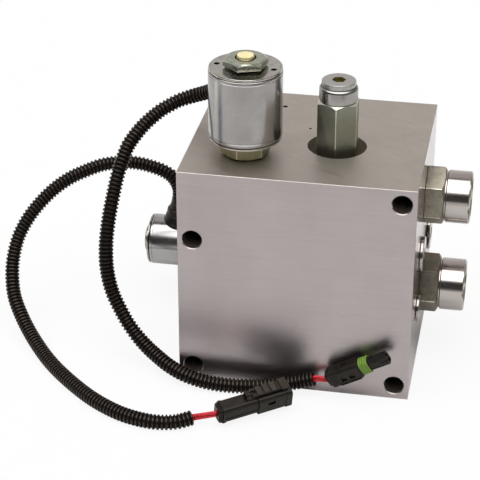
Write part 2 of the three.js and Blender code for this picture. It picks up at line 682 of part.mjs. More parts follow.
// Two wires side by side from a loom's cut end to the back of a connector.
function addWires(letter, route, group) {
  const end = vector(route[route.length - 1]);
  const heading = end.clone().sub(vector(route[route.length - 2])).normalize();
  const level = new THREE.Vector3(0, 0, 1).cross(heading).normalize();
  const rise = heading.clone().cross(level);
  [-1, 1].forEach((side, i) => {
    const start = end.clone().addScaledVector(heading, 2 * GAP).addScaledVector(rise, side * WIRE_SPREAD);
    const leaving = start.clone().addScaledVector(heading, WIRE_LEAD);
    const atConnector = (back) => (
      new THREE.Vector3(0, side * WIRE_SPREAD, -REAR_CAP - back).applyMatrix4(group.matrix)
    );
    const points = [start, leaving, atConnector(2 * GAP + WIRE_LEAD), atConnector(2 * GAP)];
    lead(`wire_${letter}_${i + 1}`, points.map((point) => point.toArray()), WIRE_RADIUS, 8, 4, RED);
  });
}

addWires('a', ROUTE_A, towerStation);
addWires('b', ROUTE_B, shroudStation);

// Tower connector: rear cap, housing with two terminal openings in its nose, green ribbed seal.
function towerHousing() {
  const { shoulder, end } = TOWER;
  const body = roundedBar(9.4, 12.6, 2, GAP, shoulder);
  const neck = roundedBar(6.4, 8.4, 1.6, shoulder - 1, end);
  const collar = roundedBar(8.6, 11.6, 2, shoulder - 1, shoulder + 1);
  const cavity = (side) => box([3, 2.8, 12], [0, side * 2, end - 4.4]);
  const recess = (z) => box([2, 3.4, 4.4], [4.6, -2.6, z]);
  return cut(join(body, neck, collar), cavity(-1), cavity(1), recess(9.6), recess(16));
}

function towerSeal() {
  const foot = TOWER.shoulder + 1 + GAP;
  const ribs = [0, 2.5, 5].map((step) => roundedBar(9.2, 11.8, 2.4, foot + step, foot + step + 1.6));
  const core = roundedBar(8.2, 10.6, 2.2, foot, foot + 6.6);
  return cut(join(core, ...ribs), roundedBar(6.4 + 2 * GAP, 8.4 + 2 * GAP, 1.6, foot - 1, foot + 8));
}

const rearCap = (width, depth) => join(
  roundedBar(width, depth, 2.2, -1.2, 0),
  roundedBar(width - 1.2, depth - 1.2, 2, -REAR_CAP, -1),
);

add(towerStation, 'tower_housing', towerHousing(), MOULDING);
add(towerStation, 'tower_seal', towerSeal(), GREEN);
add(towerStation, 'tower_rear_cap', rearCap(8.2, 10.8), MOULDING);

// Shroud connector: open-mouthed housing that the mating tower enters, with a sprung latch on top.
const LATCH_HINGE = [0, 8.4, 19];
function shroudHousing() {
  const { step, end } = SHROUD;
  const rear = roundedBar(11.4, 12.4, 2.2, GAP, step + 1);
  const mouth = roundedBar(13, 14, 2.4, step, end);
  const lip = roundedBar(13.8, 14.8, 2.6, end - 4, end);
  const hollow = roundedBar(9.8, 11.6, 2, step + 4, end + 1);
  const ears = [-1, 1].map((side) => box([1.2, 4, 3], [side * 2.6, 7.4, LATCH_HINGE[2]]));
  return join(cut(join(rear, mouth, lip), hollow), ...ears);
}

function shroudLatch() {
  const [, height, root] = LATCH_HINGE;
  const arm = box([7, 1.3, 21], [0, height + 0.9, root + 13]);
  const pad = box([8.4, 2.2, 5], [0, height + 1.3, SHROUD.end - 4.4]);
  const tail = box([3.2, 1.3, 5], [0, height + 0.9, root + 1]);
  return join(arm, pad, tail);
}

add(shroudStation, 'shroud_housing', shroudHousing(), MOULDING);
add(shroudStation, 'shroud_latch', shroudLatch(), MOULDING);
add(shroudStation, 'shroud_rear_cap', rearCap(10.2, 11.8), MOULDING);

export default valve;
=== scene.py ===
import math

import bmesh
import bpy
from mathutils import Matrix, Vector


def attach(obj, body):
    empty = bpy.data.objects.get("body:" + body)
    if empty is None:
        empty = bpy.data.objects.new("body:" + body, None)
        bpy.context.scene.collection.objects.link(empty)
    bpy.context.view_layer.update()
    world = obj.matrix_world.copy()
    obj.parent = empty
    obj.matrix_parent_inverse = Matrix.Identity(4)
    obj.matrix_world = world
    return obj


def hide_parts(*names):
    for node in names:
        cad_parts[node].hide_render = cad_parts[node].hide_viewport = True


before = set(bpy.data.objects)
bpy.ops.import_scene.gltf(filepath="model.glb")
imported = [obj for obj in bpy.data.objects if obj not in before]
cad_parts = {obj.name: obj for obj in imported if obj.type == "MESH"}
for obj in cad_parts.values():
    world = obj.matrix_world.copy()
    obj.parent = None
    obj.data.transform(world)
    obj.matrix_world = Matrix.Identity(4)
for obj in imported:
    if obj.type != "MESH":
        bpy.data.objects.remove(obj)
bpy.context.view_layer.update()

# ---- camera, floor and light ----
# The valve stands on a white table in a white tent. A wide soft box hangs over its front half,
# the room is dark in front and olive at the right, and unseen cards on the table are reflected.
scene = bpy.context.scene
scene.view_settings.view_transform = "Standard"
CAMERA_PLACE = Vector((0.14885, -1.05722, 0.65413))
CAMERA_AIM = Vector((-0.04763, 0.0, 0.07109))
camera_data = bpy.data.cameras.new("camera")
camera_data.lens = 135.2
camera = bpy.data.objects.new("camera", camera_data)
camera.location = CAMERA_PLACE
camera.rotation_euler = (CAMERA_AIM - CAMERA_PLACE).to_track_quat("-Z", "Y").to_euler()
scene.collection.objects.link(camera)
scene.camera = camera


def node(tree, kind, sockets=(), **settings):
    """A node whose inputs are values or other nodes' outputs."""
    made = tree.nodes.new(kind)
    for key, value in settings.items():
        setattr(made, key, value)
    for key, value in dict(sockets).items():
        if isinstance(value, bpy.types.NodeSocket):
            tree.links.new(value, made.inputs[key])
        else:
            made.inputs[key].default_value = value
    return made


def math_node(tree, operation, first, second=0.0, third=0.0):
    sockets = {0: first, 1: second, 2: third}
    return node(tree, "ShaderNodeMath", sockets, operation=operation).outputs[0]


def ramp(tree, factor, stops, interpolation="LINEAR"):
    """A colour ramp through (position, colour) stops."""
    made = node(tree, "ShaderNodeValToRGB", {0: factor})
    made.color_ramp.interpolation = interpolation
    elements = made.color_ramp.elements
    while len(elements) < len(stops):
        elements.new(0.5)
    for element, (position, colour) in zip(elements, stops):
        element.position = position
        element.color = (*colour, 1)
    return made.outputs[0]


def grey(value, red=1.0, green=1.0, blue=1.0):
    return value * red, value * green, value * blue


TENT_FRONT = [
    (0.0, grey(0.25)), (0.48, grey(0.22)), (0.52, grey(0.02)), (0.80, grey(0.012)),
    (0.83, grey(0.5)), (0.845, grey(1.0)), (1.0, grey(1.0)),
]
TENT_BACK = [
    (0.0, grey(0.24)), (0.5, grey(0.24)), (0.74, grey(0.22, 1, 0.98, 0.94)),
    (0.80, grey(0.19, 1, 0.96, 0.98)), (0.95, grey(0.18, 1, 0.95, 0.97)),
    (0.965, grey(0.03)), (0.985, grey(0.03)), (0.99, grey(1.0)), (1.0, grey(1.0)),
]
SOFT_BOX = 3.2
BACK_HALF = {"starts": -0.08, "full": 0.12}
WALL = {"near": 0.30, "full": 0.62, "top": 0.62, "gone": 0.75, "colour": (0.078, 0.083, 0.062, 1)}
world = bpy.data.worlds.new("tent")
scene.world = world
world.use_nodes = True
sky = world.node_tree
sky.nodes.clear()
way = node(sky, "ShaderNodeTexCoord").outputs["Generated"]
heading = node(sky, "ShaderNodeSeparateXYZ", {0: way})
height = math_node(sky, "MULTIPLY_ADD", heading.outputs["Z"], 0.5, 0.5)
behind = node(sky, "ShaderNodeMapRange", {
    0: heading.outputs["Y"], 1: BACK_HALF["starts"], 2: BACK_HALF["full"],
})
tent = node(sky, "ShaderNodeMix", {
    "Factor": behind.outputs[0], 6: ramp(sky, height, TENT_FRONT), 7: ramp(sky, height, TENT_BACK),
}, data_type="RGBA")
aside = node(sky, "ShaderNodeMapRange", {
    0: heading.outputs["X"], 1: WALL["near"], 2: WALL["full"],
}).outputs[0]
low = node(sky, "ShaderNodeMapRange", {
    0: heading.outputs["Z"], 1: WALL["top"], 2: WALL["gone"], 3: 1.0, 4: 0.0,
}).outputs[0]
dark_wall = node(sky, "ShaderNodeMix", {
    "Factor": math_node(sky, "MULTIPLY", aside, low), 6: tent.outputs[2],
    7: WALL["colour"],
}, data_type="RGBA")
lit = node(sky, "ShaderNodeBackground", {"Color": dark_wall.outputs[2], "Strength": SOFT_BOX})
seen = node(sky, "ShaderNodeBackground", {"Color": (1, 1, 1, 1), "Strength": 1.0})
straight = node(sky, "ShaderNodeLightPath").outputs["Is Camera Ray"]
mixed = node(sky, "ShaderNodeMixShader", {0: straight, 1: lit.outputs[0], 2: seen.outputs[0]})
node(sky, "ShaderNodeOutputWorld", {"Surface": mixed.outputs[0]})

TABLE_FRONT, TABLE_BACK, TABLE_SIDE = -0.5, 3.0, 2.0
TABLE_GLOW, CARD_LIFT = 0.88, 0.001
table_mesh = bpy.data.meshes.new("table")
table_mesh.from_pydata([
    (-TABLE_SIDE, TABLE_FRONT, 0), (TABLE_SIDE, TABLE_FRONT, 0),
    (TABLE_SIDE, TABLE_BACK, 0), (-TABLE_SIDE, TABLE_BACK, 0),
], [], [(0, 1, 2, 3)])
table = bpy.data.objects.new("table", table_mesh)
scene.collection.objects.link(table)
cloth = bpy.data.materials.new("white_table")
cloth.use_nodes = True
cloth.node_tree.nodes.clear()
paper = cloth.node_tree
fibre = node(paper, "ShaderNodeTexNoise", {"Scale": 180.0, "Detail": 3.0}).outputs[0]
shade = ramp(paper, fibre, [(0.3, grey(0.76)), (0.7, grey(0.80))])
spread = node(paper, "ShaderNodeBsdfDiffuse", {"Color": shade})
glow = node(paper, "ShaderNodeEmission", {"Color": (1, 1, 1, 1), "Strength": 1.0})
looked_at = node(paper, "ShaderNodeLightPath").outputs["Is Camera Ray"]
lift = math_node(paper, "MULTIPLY", looked_at, TABLE_GLOW)
surface = node(paper, "ShaderNodeMixShader", {0: lift, 1: spread.outputs[0], 2: glow.outputs[0]})
node(paper, "ShaderNodeOutputMaterial", {"Surface": surface.outputs[0]})
table_mesh.materials.append(cloth)


def card(name, corners, colour):
    """A coloured card lying on the table out of view, there only to be reflected."""
    mesh = bpy.data.meshes.new(name)
    mesh.from_pydata([(x, y, CARD_LIFT) for x, y in corners], [], [tuple(range(len(corners)))])
    made = bpy.data.objects.new(name, mesh)
    scene.collection.objects.link(made)
    made.visible_camera = made.visible_diffuse = made.visible_shadow = False
    paint = bpy.data.materials.new(name)
    paint.use_nodes = True
    paint.node_tree.nodes.clear()
    shine = node(paint.node_tree, "ShaderNodeEmission", {"Color": (*colour, 1), "Strength": 1.0})
    node(paint.node_tree, "ShaderNodeOutputMaterial", {"Surface": shine.outputs[0]})
    mesh.materials.append(paint)


card("olive_card", [(0.19, -0.22), (0.37, 0.03), (0.36, 0.24), (0.18, 0.16)], (0.20, 0.22, 0.15))
card("blue_card", [(-0.29, -0.16), (-0.30, -0.09), (-0.52, -0.11), (-0.47, -0.22)],
    (0.28, 0.31, 0.38))
card("far_card", [(-0.535, -0.085), (-0.535, 0.025), (-0.60, 0.03), (-0.60, -0.095)],
    (2.6, 2.8, 2.35))
card("white_card", [(-0.43, -0.07), (-0.43, 0.01), (-0.50, 0.02), (-0.50, -0.08)], (1.1, 1.2, 1.05))

# ---- corrugated looms ----
# Each coil's two wires run in a slit tube of black polypropylene, ten millimetres across, blown
# with square ribs so that it bends. One end is pushed into the coil's boot, the other is cut off.
MM = 0.001
LOOM = {"crest": 5.0, "root": 3.95, "bore": 3.4, "pitch": 2.65, "sides": 28, "mouth": 12.0}
ROUTE_A = [
    (-56.8, 1.6, 180), (-60.2, 7.5, 179.6), (-65.6, 13, 176), (-73.2, 16.8, 171), (-82.8, 18, 167),
    (-91.5, 16.6, 163.8), (-98.2, 13.5, 160.7), (-104.6, 10, 157), (-112.5, 3, 150.8),
    (-118.1, -4, 144.6), (-122.1, -10.5, 138), (-125.7, -19.5, 125.2), (-128.2, -27, 110.6),
    (-130.2, -33, 95.6), (-131.2, -38, 80), (-130.4, -41.5, 63.7), (-126.3, -44.6, 47.4),
    (-118.2, -48.4, 32.4), (-112.1, -51.6, 24.8), (-105.6, -55.3, 19.2), (-98.5, -59.9, 15.3),
    (-91.2, -65, 12.9), (-83, -70.5, 10.7), (-72.1, -75.4, 8.2), (-60.4, -77.9, 6.2),
    (-48.8, -78.9, 5.3), (-37.4, -78.7, 5.1), (-26.4, -77.3, 5.2), (-15.8, -75.4, 5.8),
    (-7, -74.2, 7), (3, -73.6, 9.4), (15.4, -73.4, 13.4),
]
ROUTE_B = [
    (-98.5, 42, 78.9), (-98.6, 42, 84), (-100.4, 42, 89.3), (-104.4, 42, 94.2),
    (-110.4, 41.8, 97.8),
    (-117.6, 41.2, 100.4), (-125.9, 40, 102.6), (-136, 37.8, 103.8), (-150.2, 34, 102.6),
    (-162.2, 30, 98.7), (-174, 25, 93.4), (-185.7, 19, 84.8), (-197.1, 11, 72), (-204.4, 3, 58.6),
    (-206.8, -6, 46), (-205.8, -15, 35.3), (-201.6, -25.5, 25), (-193.4, -37, 16.6),
    (-183.6, -49, 10.2), (-172.2, -62.5, 6.2), (-161.6, -75, 5), (-150.1, -87.5, 5),
    (-137.5, -99.6, 5), (-126.6, -108.9, 5), (-115, -117, 5), (-101.8, -124, 5), (-88.7, -128, 5),
    (-76.7, -129, 5), (-65.6, -126.4, 5), (-56.4, -121, 5.6),
]


RIB_SHAPE = [
    (0.0, LOOM["root"]), (0.30, LOOM["root"]), (0.37, LOOM["crest"] - 0.42),
    (0.45, LOOM["crest"] - 0.10),
    (0.56, LOOM["crest"]), (0.70, LOOM["crest"]), (0.81, LOOM["crest"] - 0.10),
    (0.89, LOOM["crest"] - 0.42),
    (0.96, LOOM["root"]),
]


def smooth_route(points, step=0.5):
    """Points spaced evenly along one smooth curve through the given ones."""
    points = [Vector(p) for p in points]
    ends = [2 * points[0] - points[1], *points, 2 * points[-1] - points[-2]]
    dense = []
    for a, b, c, d in zip(ends, ends[1:], ends[2:], ends[3:]):
        for i in range(24):
            t = i / 24
            dense.append(0.5 * (
                2 * b + (c - a) * t + (2 * a - 5 * b + 4 * c - d) * t ** 2
                + (3 * b - a - 3 * c + d) * t ** 3
            ))
    dense.append(points[-1])
    even, gone = [dense[0]], 0.0
    for a, b in zip(dense, dense[1:]):
        gone += (b - a).length
        if gone >= step:
            even.append(b)
            gone = 0.0
    even[-1] = points[-1]
    return even


def frames_along(points):
    """(point, side, rise) at each point, turned as little as possible from one to the next."""
    heads = [(points[min(i + 1, len(points) - 1)] - points[max(i - 1, 0)]).normalized()
             for i in range(len(points))]
    rise = heads[0].orthogonal().normalized()
    found = []
    for point, heading_here in zip(points, heads):
        rise = (rise - heading_here * rise.dot(heading_here)).normalized()
        found.append((point, heading_here.cross(rise), rise))
    return found


def sweep(stations, sides, slit=0.0):
    """A closed skin through (point, side, rise, radius) stations, capped at both ends."""
    bm = bmesh.new()
    rings = []
    for point, side, rise, radius in stations:
        ring = []
        for i in range(sides):
            angle = math.tau * i / sides
            reach = radius - (slit if i == 0 else 0)
            ring.append(bm.verts.new(point + reach * (math.cos(angle) * side + math.sin(angle) * rise)))
        rings.append(ring)
    for low, high in zip(rings, rings[1:]):
        for i in range(sides):
            j = (i + 1) % sides
            bm.faces.new((low[i], low[j], high[j], high[i]))
    bm.faces.new(list(reversed(rings[0])))
    bm.faces.new(rings[-1])
    bmesh.ops.recalc_face_normals(bm, faces=bm.faces)
    return bm


def shape(bm):
    """An object from a bmesh drawn in millimetres."""
    mesh = bpy.data.meshes.new("shape")
    bm.to_mesh(mesh)
    bm.free()
    made = bpy.data.objects.new("shape", mesh)
    scene.collection.objects.link(made)
    return made


CREASE = math.radians(21)


def fit(body, name, material, rides, stands_for=(), station=None):
    """Brings a finished shape to metres, places it, and hands it to its body."""
    body.data.transform(Matrix.Scale(MM, 4))
    body.data.shade_smooth()
    body.data.set_sharp_from_angle(angle=CREASE)
    body.data.materials.clear()
    body.data.materials.append(material)
    body.name = name
    body.data.name = name
    if station is not None:
        body.matrix_world = station
    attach(body, rides)
    if stands_for:
        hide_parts(*stands_for)
    return body


def effect(name, inputs, outputs):
    """An empty shader node group with named sockets: (tree, its inputs, its output node)."""
    tree = bpy.data.node_groups.new(name, "ShaderNodeTree")
    for socket, (kind, value) in inputs.items():
        made = tree.interface.new_socket(socket, in_out="INPUT", socket_type=kind)
        if value is not None:
            made.default_value = value
    for socket, kind in outputs.items():
        tree.interface.new_socket(socket, in_out="OUTPUT", socket_type=kind)
    return tree, node(tree, "NodeGroupInput").outputs, node(tree, "NodeGroupOutput").inputs


FLOAT, VECTOR = "NodeSocketFloat", "NodeSocketVector"


def patches_effect():
    """Cloudy patches: Mask runs from 0 to 1, and Contrast says how hard its edges are."""
    tree, given, out = effect("patches", {
        "Vector": (VECTOR, None), "Scale": (FLOAT, 40.0), "Contrast": (FLOAT, 2.0),
    }, {"Mask": FLOAT})
    cloud = node(tree, "ShaderNodeTexNoise", {
        "Vector": given["Vector"], "Scale": given["Scale"], "Detail": 5.0, "Roughness": 0.62,
    }).outputs[0]
    centred = math_node(tree, "SUBTRACT", cloud, 0.5)
    spread_out = math_node(tree, "MULTIPLY_ADD", centred, given["Contrast"], 0.5)
    limited = node(tree, "ShaderNodeClamp", {0: spread_out}).outputs[0]
    tree.links.new(limited, out["Mask"])
    return tree


def grain_effect():
    """Fine grain: Height for a bump, and Mask for a change of tone with it."""
    tree, given, out = effect("grain", {
        "Vector": (VECTOR, None), "Scale": (FLOAT, 1500.0),
    }, {"Mask": FLOAT, "Height": FLOAT})
    fine = node(tree, "ShaderNodeTexNoise", {
        "Vector": given["Vector"], "Scale": given["Scale"], "Detail": 2.0,
    }).outputs[0]
    coarse_scale = math_node(tree, "MULTIPLY", given["Scale"], 0.31)
    coarse = node(tree, "ShaderNodeTexNoise", {
        "Vector": given["Vector"], "Scale": coarse_scale, "Detail": 2.0,
    }).outputs[0]
    both = math_node(tree, "MULTIPLY_ADD", coarse, 0.6, fine)
    mask = math_node(tree, "MULTIPLY_ADD", both, 1.4, -0.62)
    tree.links.new(node(tree, "ShaderNodeClamp", {0: mask}).outputs[0], out["Mask"])
    tree.links.new(both, out["Height"])
    return tree


PATCHES = patches_effect()
GRAIN = grain_effect()


def material(name, **constants):
    """A new material with one Principled shader, its constants set on the shader's own sockets."""
    made = bpy.data.materials.new(name)
    made.use_nodes = True
    tree = made.node_tree
    tree.nodes.clear()
    shader = node(tree, "ShaderNodeBsdfPrincipled", constants)
    node(tree, "ShaderNodeOutputMaterial", {"Surface": shader.outputs[0]})
    return made, tree, shader


def place(tree, group, **sockets):
    """Puts a shared effect into a material, with this material's own values."""
    made = tree.nodes.new("ShaderNodeGroup")
    made.node_tree = group
    for key, value in sockets.items():
        if isinstance(value, bpy.types.NodeSocket):
            tree.links.new(value, made.inputs[key])
        else:
            made.inputs[key].default_value = value
    return made.outputs


def here(tree):
    return node(tree, "ShaderNodeTexCoord").outputs["Object"]


def blend_colour(tree, mask, first, second):
    made = node(tree, "ShaderNodeMix", {"Factor": mask, 6: (*first, 1), 7: (*second, 1)},
        data_type="RGBA")
    return made.outputs[2]


def blend_value(tree, mask, first, second):
    return node(tree, "ShaderNodeMapRange", {0: mask, 3: first, 4: second}).outputs[0]


def bump(tree, shader, height_field, strength, distance):
    made = node(tree, "ShaderNodeBump", {
        "Height": height_field, "Strength": strength, "Distance": distance,
    })
    tree.links.new(made.outputs[0], shader.inputs["Normal"])


def loom_material():
    """Glossy black polypropylene, browner and dustier in patches."""
    made, tree, shader = material("loom_plastic", Metallic=0.0)
    shader.inputs["Specular IOR Level"].default_value = 0.42
    shader.inputs["Specular Tint"].default_value = (1.0, 0.84, 0.70, 1)
    dust = place(tree, PATCHES, Vector=here(tree), Scale=120.0, Contrast=2.4)["Mask"]
    grain = place(tree, GRAIN, Vector=here(tree), Scale=1800.0)
    colour = blend_colour(tree, dust, (0.006, 0.004, 0.0035), (0.014, 0.009, 0.0075))
    tree.links.new(colour, shader.inputs["Base Color"])
    tree.links.new(blend_value(tree, dust, 0.17, 0.27), shader.inputs["Roughness"])
    bump(tree, shader, grain["Height"], 0.15, 0.0002)
    return made


def groove_shade_material():
    """The grooves between the ribs: dull plastic painted darker than the ribs as shade, varied in
    patches.
    """
    made, tree, shader = material("loom_groove_painted_shade", Metallic=0.0)
    shader.inputs["Specular IOR Level"].default_value = 0.12
    shade_patches = place(tree, PATCHES, Vector=here(tree), Scale=300.0, Contrast=2.0)["Mask"]
    colour = blend_colour(tree, shade_patches, (0.0015, 0.0012, 0.001), (0.005, 0.004, 0.003))
    tree.links.new(colour, shader.inputs["Base Color"])
    tree.links.new(blend_value(tree, shade_patches, 0.5, 0.7), shader.inputs["Roughness"])
    grain = place(tree, GRAIN, Vector=here(tree), Scale=1800.0)
    bump(tree, shader, grain["Height"], 0.15, 0.0002)
    return made


LOOM_PLASTIC, LOOM_GROOVE_SHADE = loom_material(), groove_shade_material()


def loom(name, route):
    """The ribbed tube along a route, open at its cut end. Returns it and its centre line."""
    line = smooth_route(route)
    placed = frames_along(line)
    reach = [0.0]
    for before, after in zip(line, line[1:]):
        reach.append(reach[-1] + (after - before).length)
    ribs = round(reach[-1] / LOOM["pitch"])
    pitch = reach[-1] / ribs
    stations, index = [], 0
    for rib in range(ribs):
        for share, radius in RIB_SHAPE:
            distance = (rib + share) * pitch
            while index < len(reach) - 2 and reach[index + 1] < distance:
                index += 1
            between = (distance - reach[index]) / (reach[index + 1] - reach[index])
            point = placed[index][0].lerp(placed[index + 1][0], between)
            stations.append((point, *placed[index][1:], radius))
    mouth = stations[-int(LOOM["mouth"] / pitch) * len(RIB_SHAPE)::len(RIB_SHAPE)]
    mouth.append(stations[-1])
    inner = [(point, side, rise, LOOM["bore"]) for point, side, rise, _ in reversed(mouth)]
    body = shape(sweep(stations + inner, LOOM["sides"], slit=0.5))
    fit(body, name, LOOM_PLASTIC, "valve", [name.replace("_tube", "")])
    # Faces in the grooves between the ribs take the darker material, which is painted shade.
    body.data.materials.append(LOOM_GROOVE_SHADE)
    for face in body.data.polygons:
        shares = {vertex // LOOM["sides"] % len(RIB_SHAPE) for vertex in face.vertices}
        if shares & {0, 1, len(RIB_SHAPE) - 1}:
            face.material_index = 1
    return body, [p * MM for p, _, _, _ in stations]


loom_a, line_a = loom("loom_a_tube", ROUTE_A)
loom_b, line_b = loom("loom_b_tube", ROUTE_B)

# ---- wires ----
# Two stranded copper wires with a red jacket, a little over two millimetres across, come out of
# each loom's cut end side by side and go straight into the back of its connector.
WIRE = {"radius": 1.1, "spread": 1.25, "gap": 0.6, "lead": 1.0, "sides": 20}
REAR_CAP = 2.2
TOWER = {"rear": (26.2, -74.2, 16.2), "nose": (63.4, -76, 37.4), "roll": 12}
SHROUD = {"rear": (-39, -117.5, 9.5), "nose": (2.4, -88.4, 12), "roll": 14}


def connector_frame(ends):
    """A connector's own frame, in millimetres: +Z from its rear to its nose, rolled about it."""
    rear, nose = Vector(ends["rear"]), Vector(ends["nose"])
    along = (nose - rear).normalized()
    across = Vector((0, 0, 1)).cross(along).normalized()
    upright = along.cross(across)
    turned = Matrix((across, upright, along)).transposed().to_4x4()
    return Matrix.Translation(rear) @ turned @ Matrix.Rotation(math.radians(ends["roll"]), 4, "Z")


def in_metres(place_mm):
    return Matrix.Translation(place_mm.translation * MM) @ place_mm.to_3x3().to_4x4()


def wire_material():
    """Red PVC jacket with a soft sheen and slight handling marks."""
    made, tree, shader = material("wire_jacket", Metallic=0.0)
    shader.inputs["Specular IOR Level"].default_value = 0.5
    marks = place(tree, PATCHES, Vector=here(tree), Scale=300.0, Contrast=2.5)["Mask"]
    colour = blend_colour(tree, marks, (0.66, 0.012, 0.025), (0.46, 0.008, 0.016))
    tree.links.new(colour, shader.inputs["Base Color"])
    tree.links.new(blend_value(tree, marks, 0.32, 0.5), shader.inputs["Roughness"])
    grain = place(tree, GRAIN, Vector=here(tree), Scale=2500.0)
    bump(tree, shader, grain["Height"], 0.08, 0.0002)
    return made


WIRE_JACKET = wire_material()


def wires(letter, route, station):
    end, before = Vector(route[-1]), Vector(route[-2])
    heading_out = (end - before).normalized()
    level = Vector((0, 0, 1)).cross(heading_out).normalized()
    rise = heading_out.cross(level)
    made = []
    for i, side in enumerate((-1, 1)):
        aside = side * WIRE["spread"]
        start = end + heading_out * WIRE["gap"] + rise * aside
        inside = start - heading_out * 8
        plugged = station @ Vector((0, aside, -REAR_CAP - WIRE["gap"]))
        before_plug = station @ Vector((0, aside, -REAR_CAP - WIRE["gap"] - WIRE["lead"]))
        points = smooth_route([inside, start, start + heading_out * WIRE["lead"], before_plug,
                plugged], 0.4)
        stations = [(p, s, r, WIRE["radius"]) for p, s, r in frames_along(points)]
        body = shape(sweep(stations, WIRE["sides"]))
        node_name = f"wire_{letter}_{i + 1}"
        made.append(fit(body, node_name + "_jacket", WIRE_JACKET, "valve", [node_name]))
    return made


TOWER_FRAME = connector_frame(TOWER)
SHROUD_FRAME = connector_frame(SHROUD)
wires_a = wires("a", ROUTE_A, TOWER_FRAME)
wires_b = wires("b", ROUTE_B, SHROUD_FRAME)

# ---- tower connector ----
# The male half of a two-way weatherproof connector, moulded in black nylon. Its terminals sit in
# a narrow nose, a green ribbed silicone seal is stretched round the nose's foot, and a stepped
# rear cap holds the wire seals in.
def box_shape(size, centre):
    """A cuboid in millimetres."""
    bm = bmesh.new()
    bmesh.ops.create_cube(bm, size=1.0)
    bmesh.ops.scale(bm, vec=size, verts=bm.verts)
    bmesh.ops.translate(bm, vec=centre, verts=bm.verts)
    return shape(bm)


def prism(outline, foot, head):
    """An outline of (x, y) points drawn up along +Z."""
    bm = bmesh.new()
    low = [bm.verts.new((x, y, foot)) for x, y in outline]
    high = [bm.verts.new((x, y, head)) for x, y in outline]
    bm.faces.new(list(reversed(low)))
    bm.faces.new(high)
    for i in range(len(outline)):
        j = (i + 1) % len(outline)
        bm.faces.new((low[i], low[j], high[j], high[i]))
    bmesh.ops.recalc_face_normals(bm, faces=bm.faces)
    return shape(bm)


def rounded_bar(width, depth, corner, foot, head, steps=6):
    """A bar along +Z with a rounded rectangular section."""
    outline = []
    for turn, (sx, sy) in enumerate(((1, 1), (-1, 1), (-1, -1), (1, -1))):
        cx, cy = sx * (width / 2 - corner), sy * (depth / 2 - corner)
        for i in range(steps + 1):
            angle = math.pi / 2 * (turn + i / steps)
            outline.append((cx + corner * math.cos(angle), cy + corner * math.sin(angle)))
    return prism(outline, foot, head)


def applied(body):
    """The body with its modifiers baked into its mesh."""
    depsgraph = bpy.context.evaluated_depsgraph_get()
    made = bpy.data.meshes.new_from_object(body.evaluated_get(depsgraph))
    body.modifiers.clear()
    body.data = made
    return body


def combine(body, tool, operation):
    change = body.modifiers.new("change", "BOOLEAN")
    change.operation = operation
    change.solver = "EXACT"
    change.object = tool
    bpy.context.view_layer.update()
    applied(body)
    bpy.data.objects.remove(tool)
    return body


def join(body, *others):
    for other in others:
        combine(body, other, "UNION")
    return body


def cut(body, *tools):
    for tool in tools:
        combine(body, tool, "DIFFERENCE")
    return body


def soften(body, width, segments=2, angle=30):
    """Rounds every edge sharper than the angle."""
    change = body.modifiers.new("soften", "BEVEL")
    change.width = width
    change.segments = segments
    change.limit_method = "ANGLE"
    change.angle_limit = math.radians(angle)
    change.use_clamp_overlap = True
    bpy.context.view_layer.update()
    return applied(body)


def nylon_material(name, clean, worn):
    """Black glass-filled nylon: a fine moulded grain, greyer where it has been handled."""
    made, tree, shader = material(name, Metallic=0.0)
    shader.inputs["Specular IOR Level"].default_value = 0.26
    shader.inputs["Specular Tint"].default_value = (1.0, 0.88, 0.76, 1)
    handled = place(tree, PATCHES, Vector=here(tree), Scale=160.0, Contrast=2.2)["Mask"]
    grain = place(tree, GRAIN, Vector=here(tree), Scale=1600.0)
    colour = blend_colour(tree, handled, clean, worn)
    tree.links.new(colour, shader.inputs["Base Color"])
    tree.links.new(blend_value(tree, handled, 0.26, 0.38), shader.inputs["Roughness"])
    bump(tree, shader, grain["Height"], 0.25, 0.0002)
    return made


BLACK_NYLON = nylon_material("black_nylon", (0.005, 0.0045, 0.004), (0.014, 0.012, 0.010))
# A lighter brown nylon for the latch's upward faces: painted light.
LIT_LATCH_NYLON = nylon_material("latch_top_painted_light_nylon", (0.045, 0.037, 0.029), (0.022, 0.018, 0.015))


def green_material():
    """Yellow-green silicone, matte, with a little dust in patches."""
    made, tree, shader = material("green_silicone", Metallic=0.0)
    shader.inputs["Specular IOR Level"].default_value = 0.4
    dusty = place(tree, PATCHES, Vector=here(tree), Scale=260.0, Contrast=2.0)["Mask"]
    colour = blend_colour(tree, dusty, (0.20, 0.34, 0.045), (0.13, 0.23, 0.035))
    tree.links.new(colour, shader.inputs["Base Color"])
    tree.links.new(blend_value(tree, dusty, 0.42, 0.6), shader.inputs["Roughness"])
    grain = place(tree, GRAIN, Vector=here(tree), Scale=2200.0)
    bump(tree, shader, grain["Height"], 0.12, 0.0002)
    return made


GREEN_SILICONE = green_material()


def rear_cap(width, depth):
    """A stepped cap: a flange, two ribs and a lip round each wire."""
    body = rounded_bar(width, depth, 2.2, -0.8, 0)
    join(body, rounded_bar(width - 1.4, depth - 1.4, 1.8, -1.4, -0.7))
    join(body, rounded_bar(width - 0.5, depth - 0.5, 2.0, -1.7, -1.2))
    join(body, rounded_bar(width - 2.2, depth - 2.2, 1.6, -REAR_CAP, -1.5))
    return soften(body, 0.12)


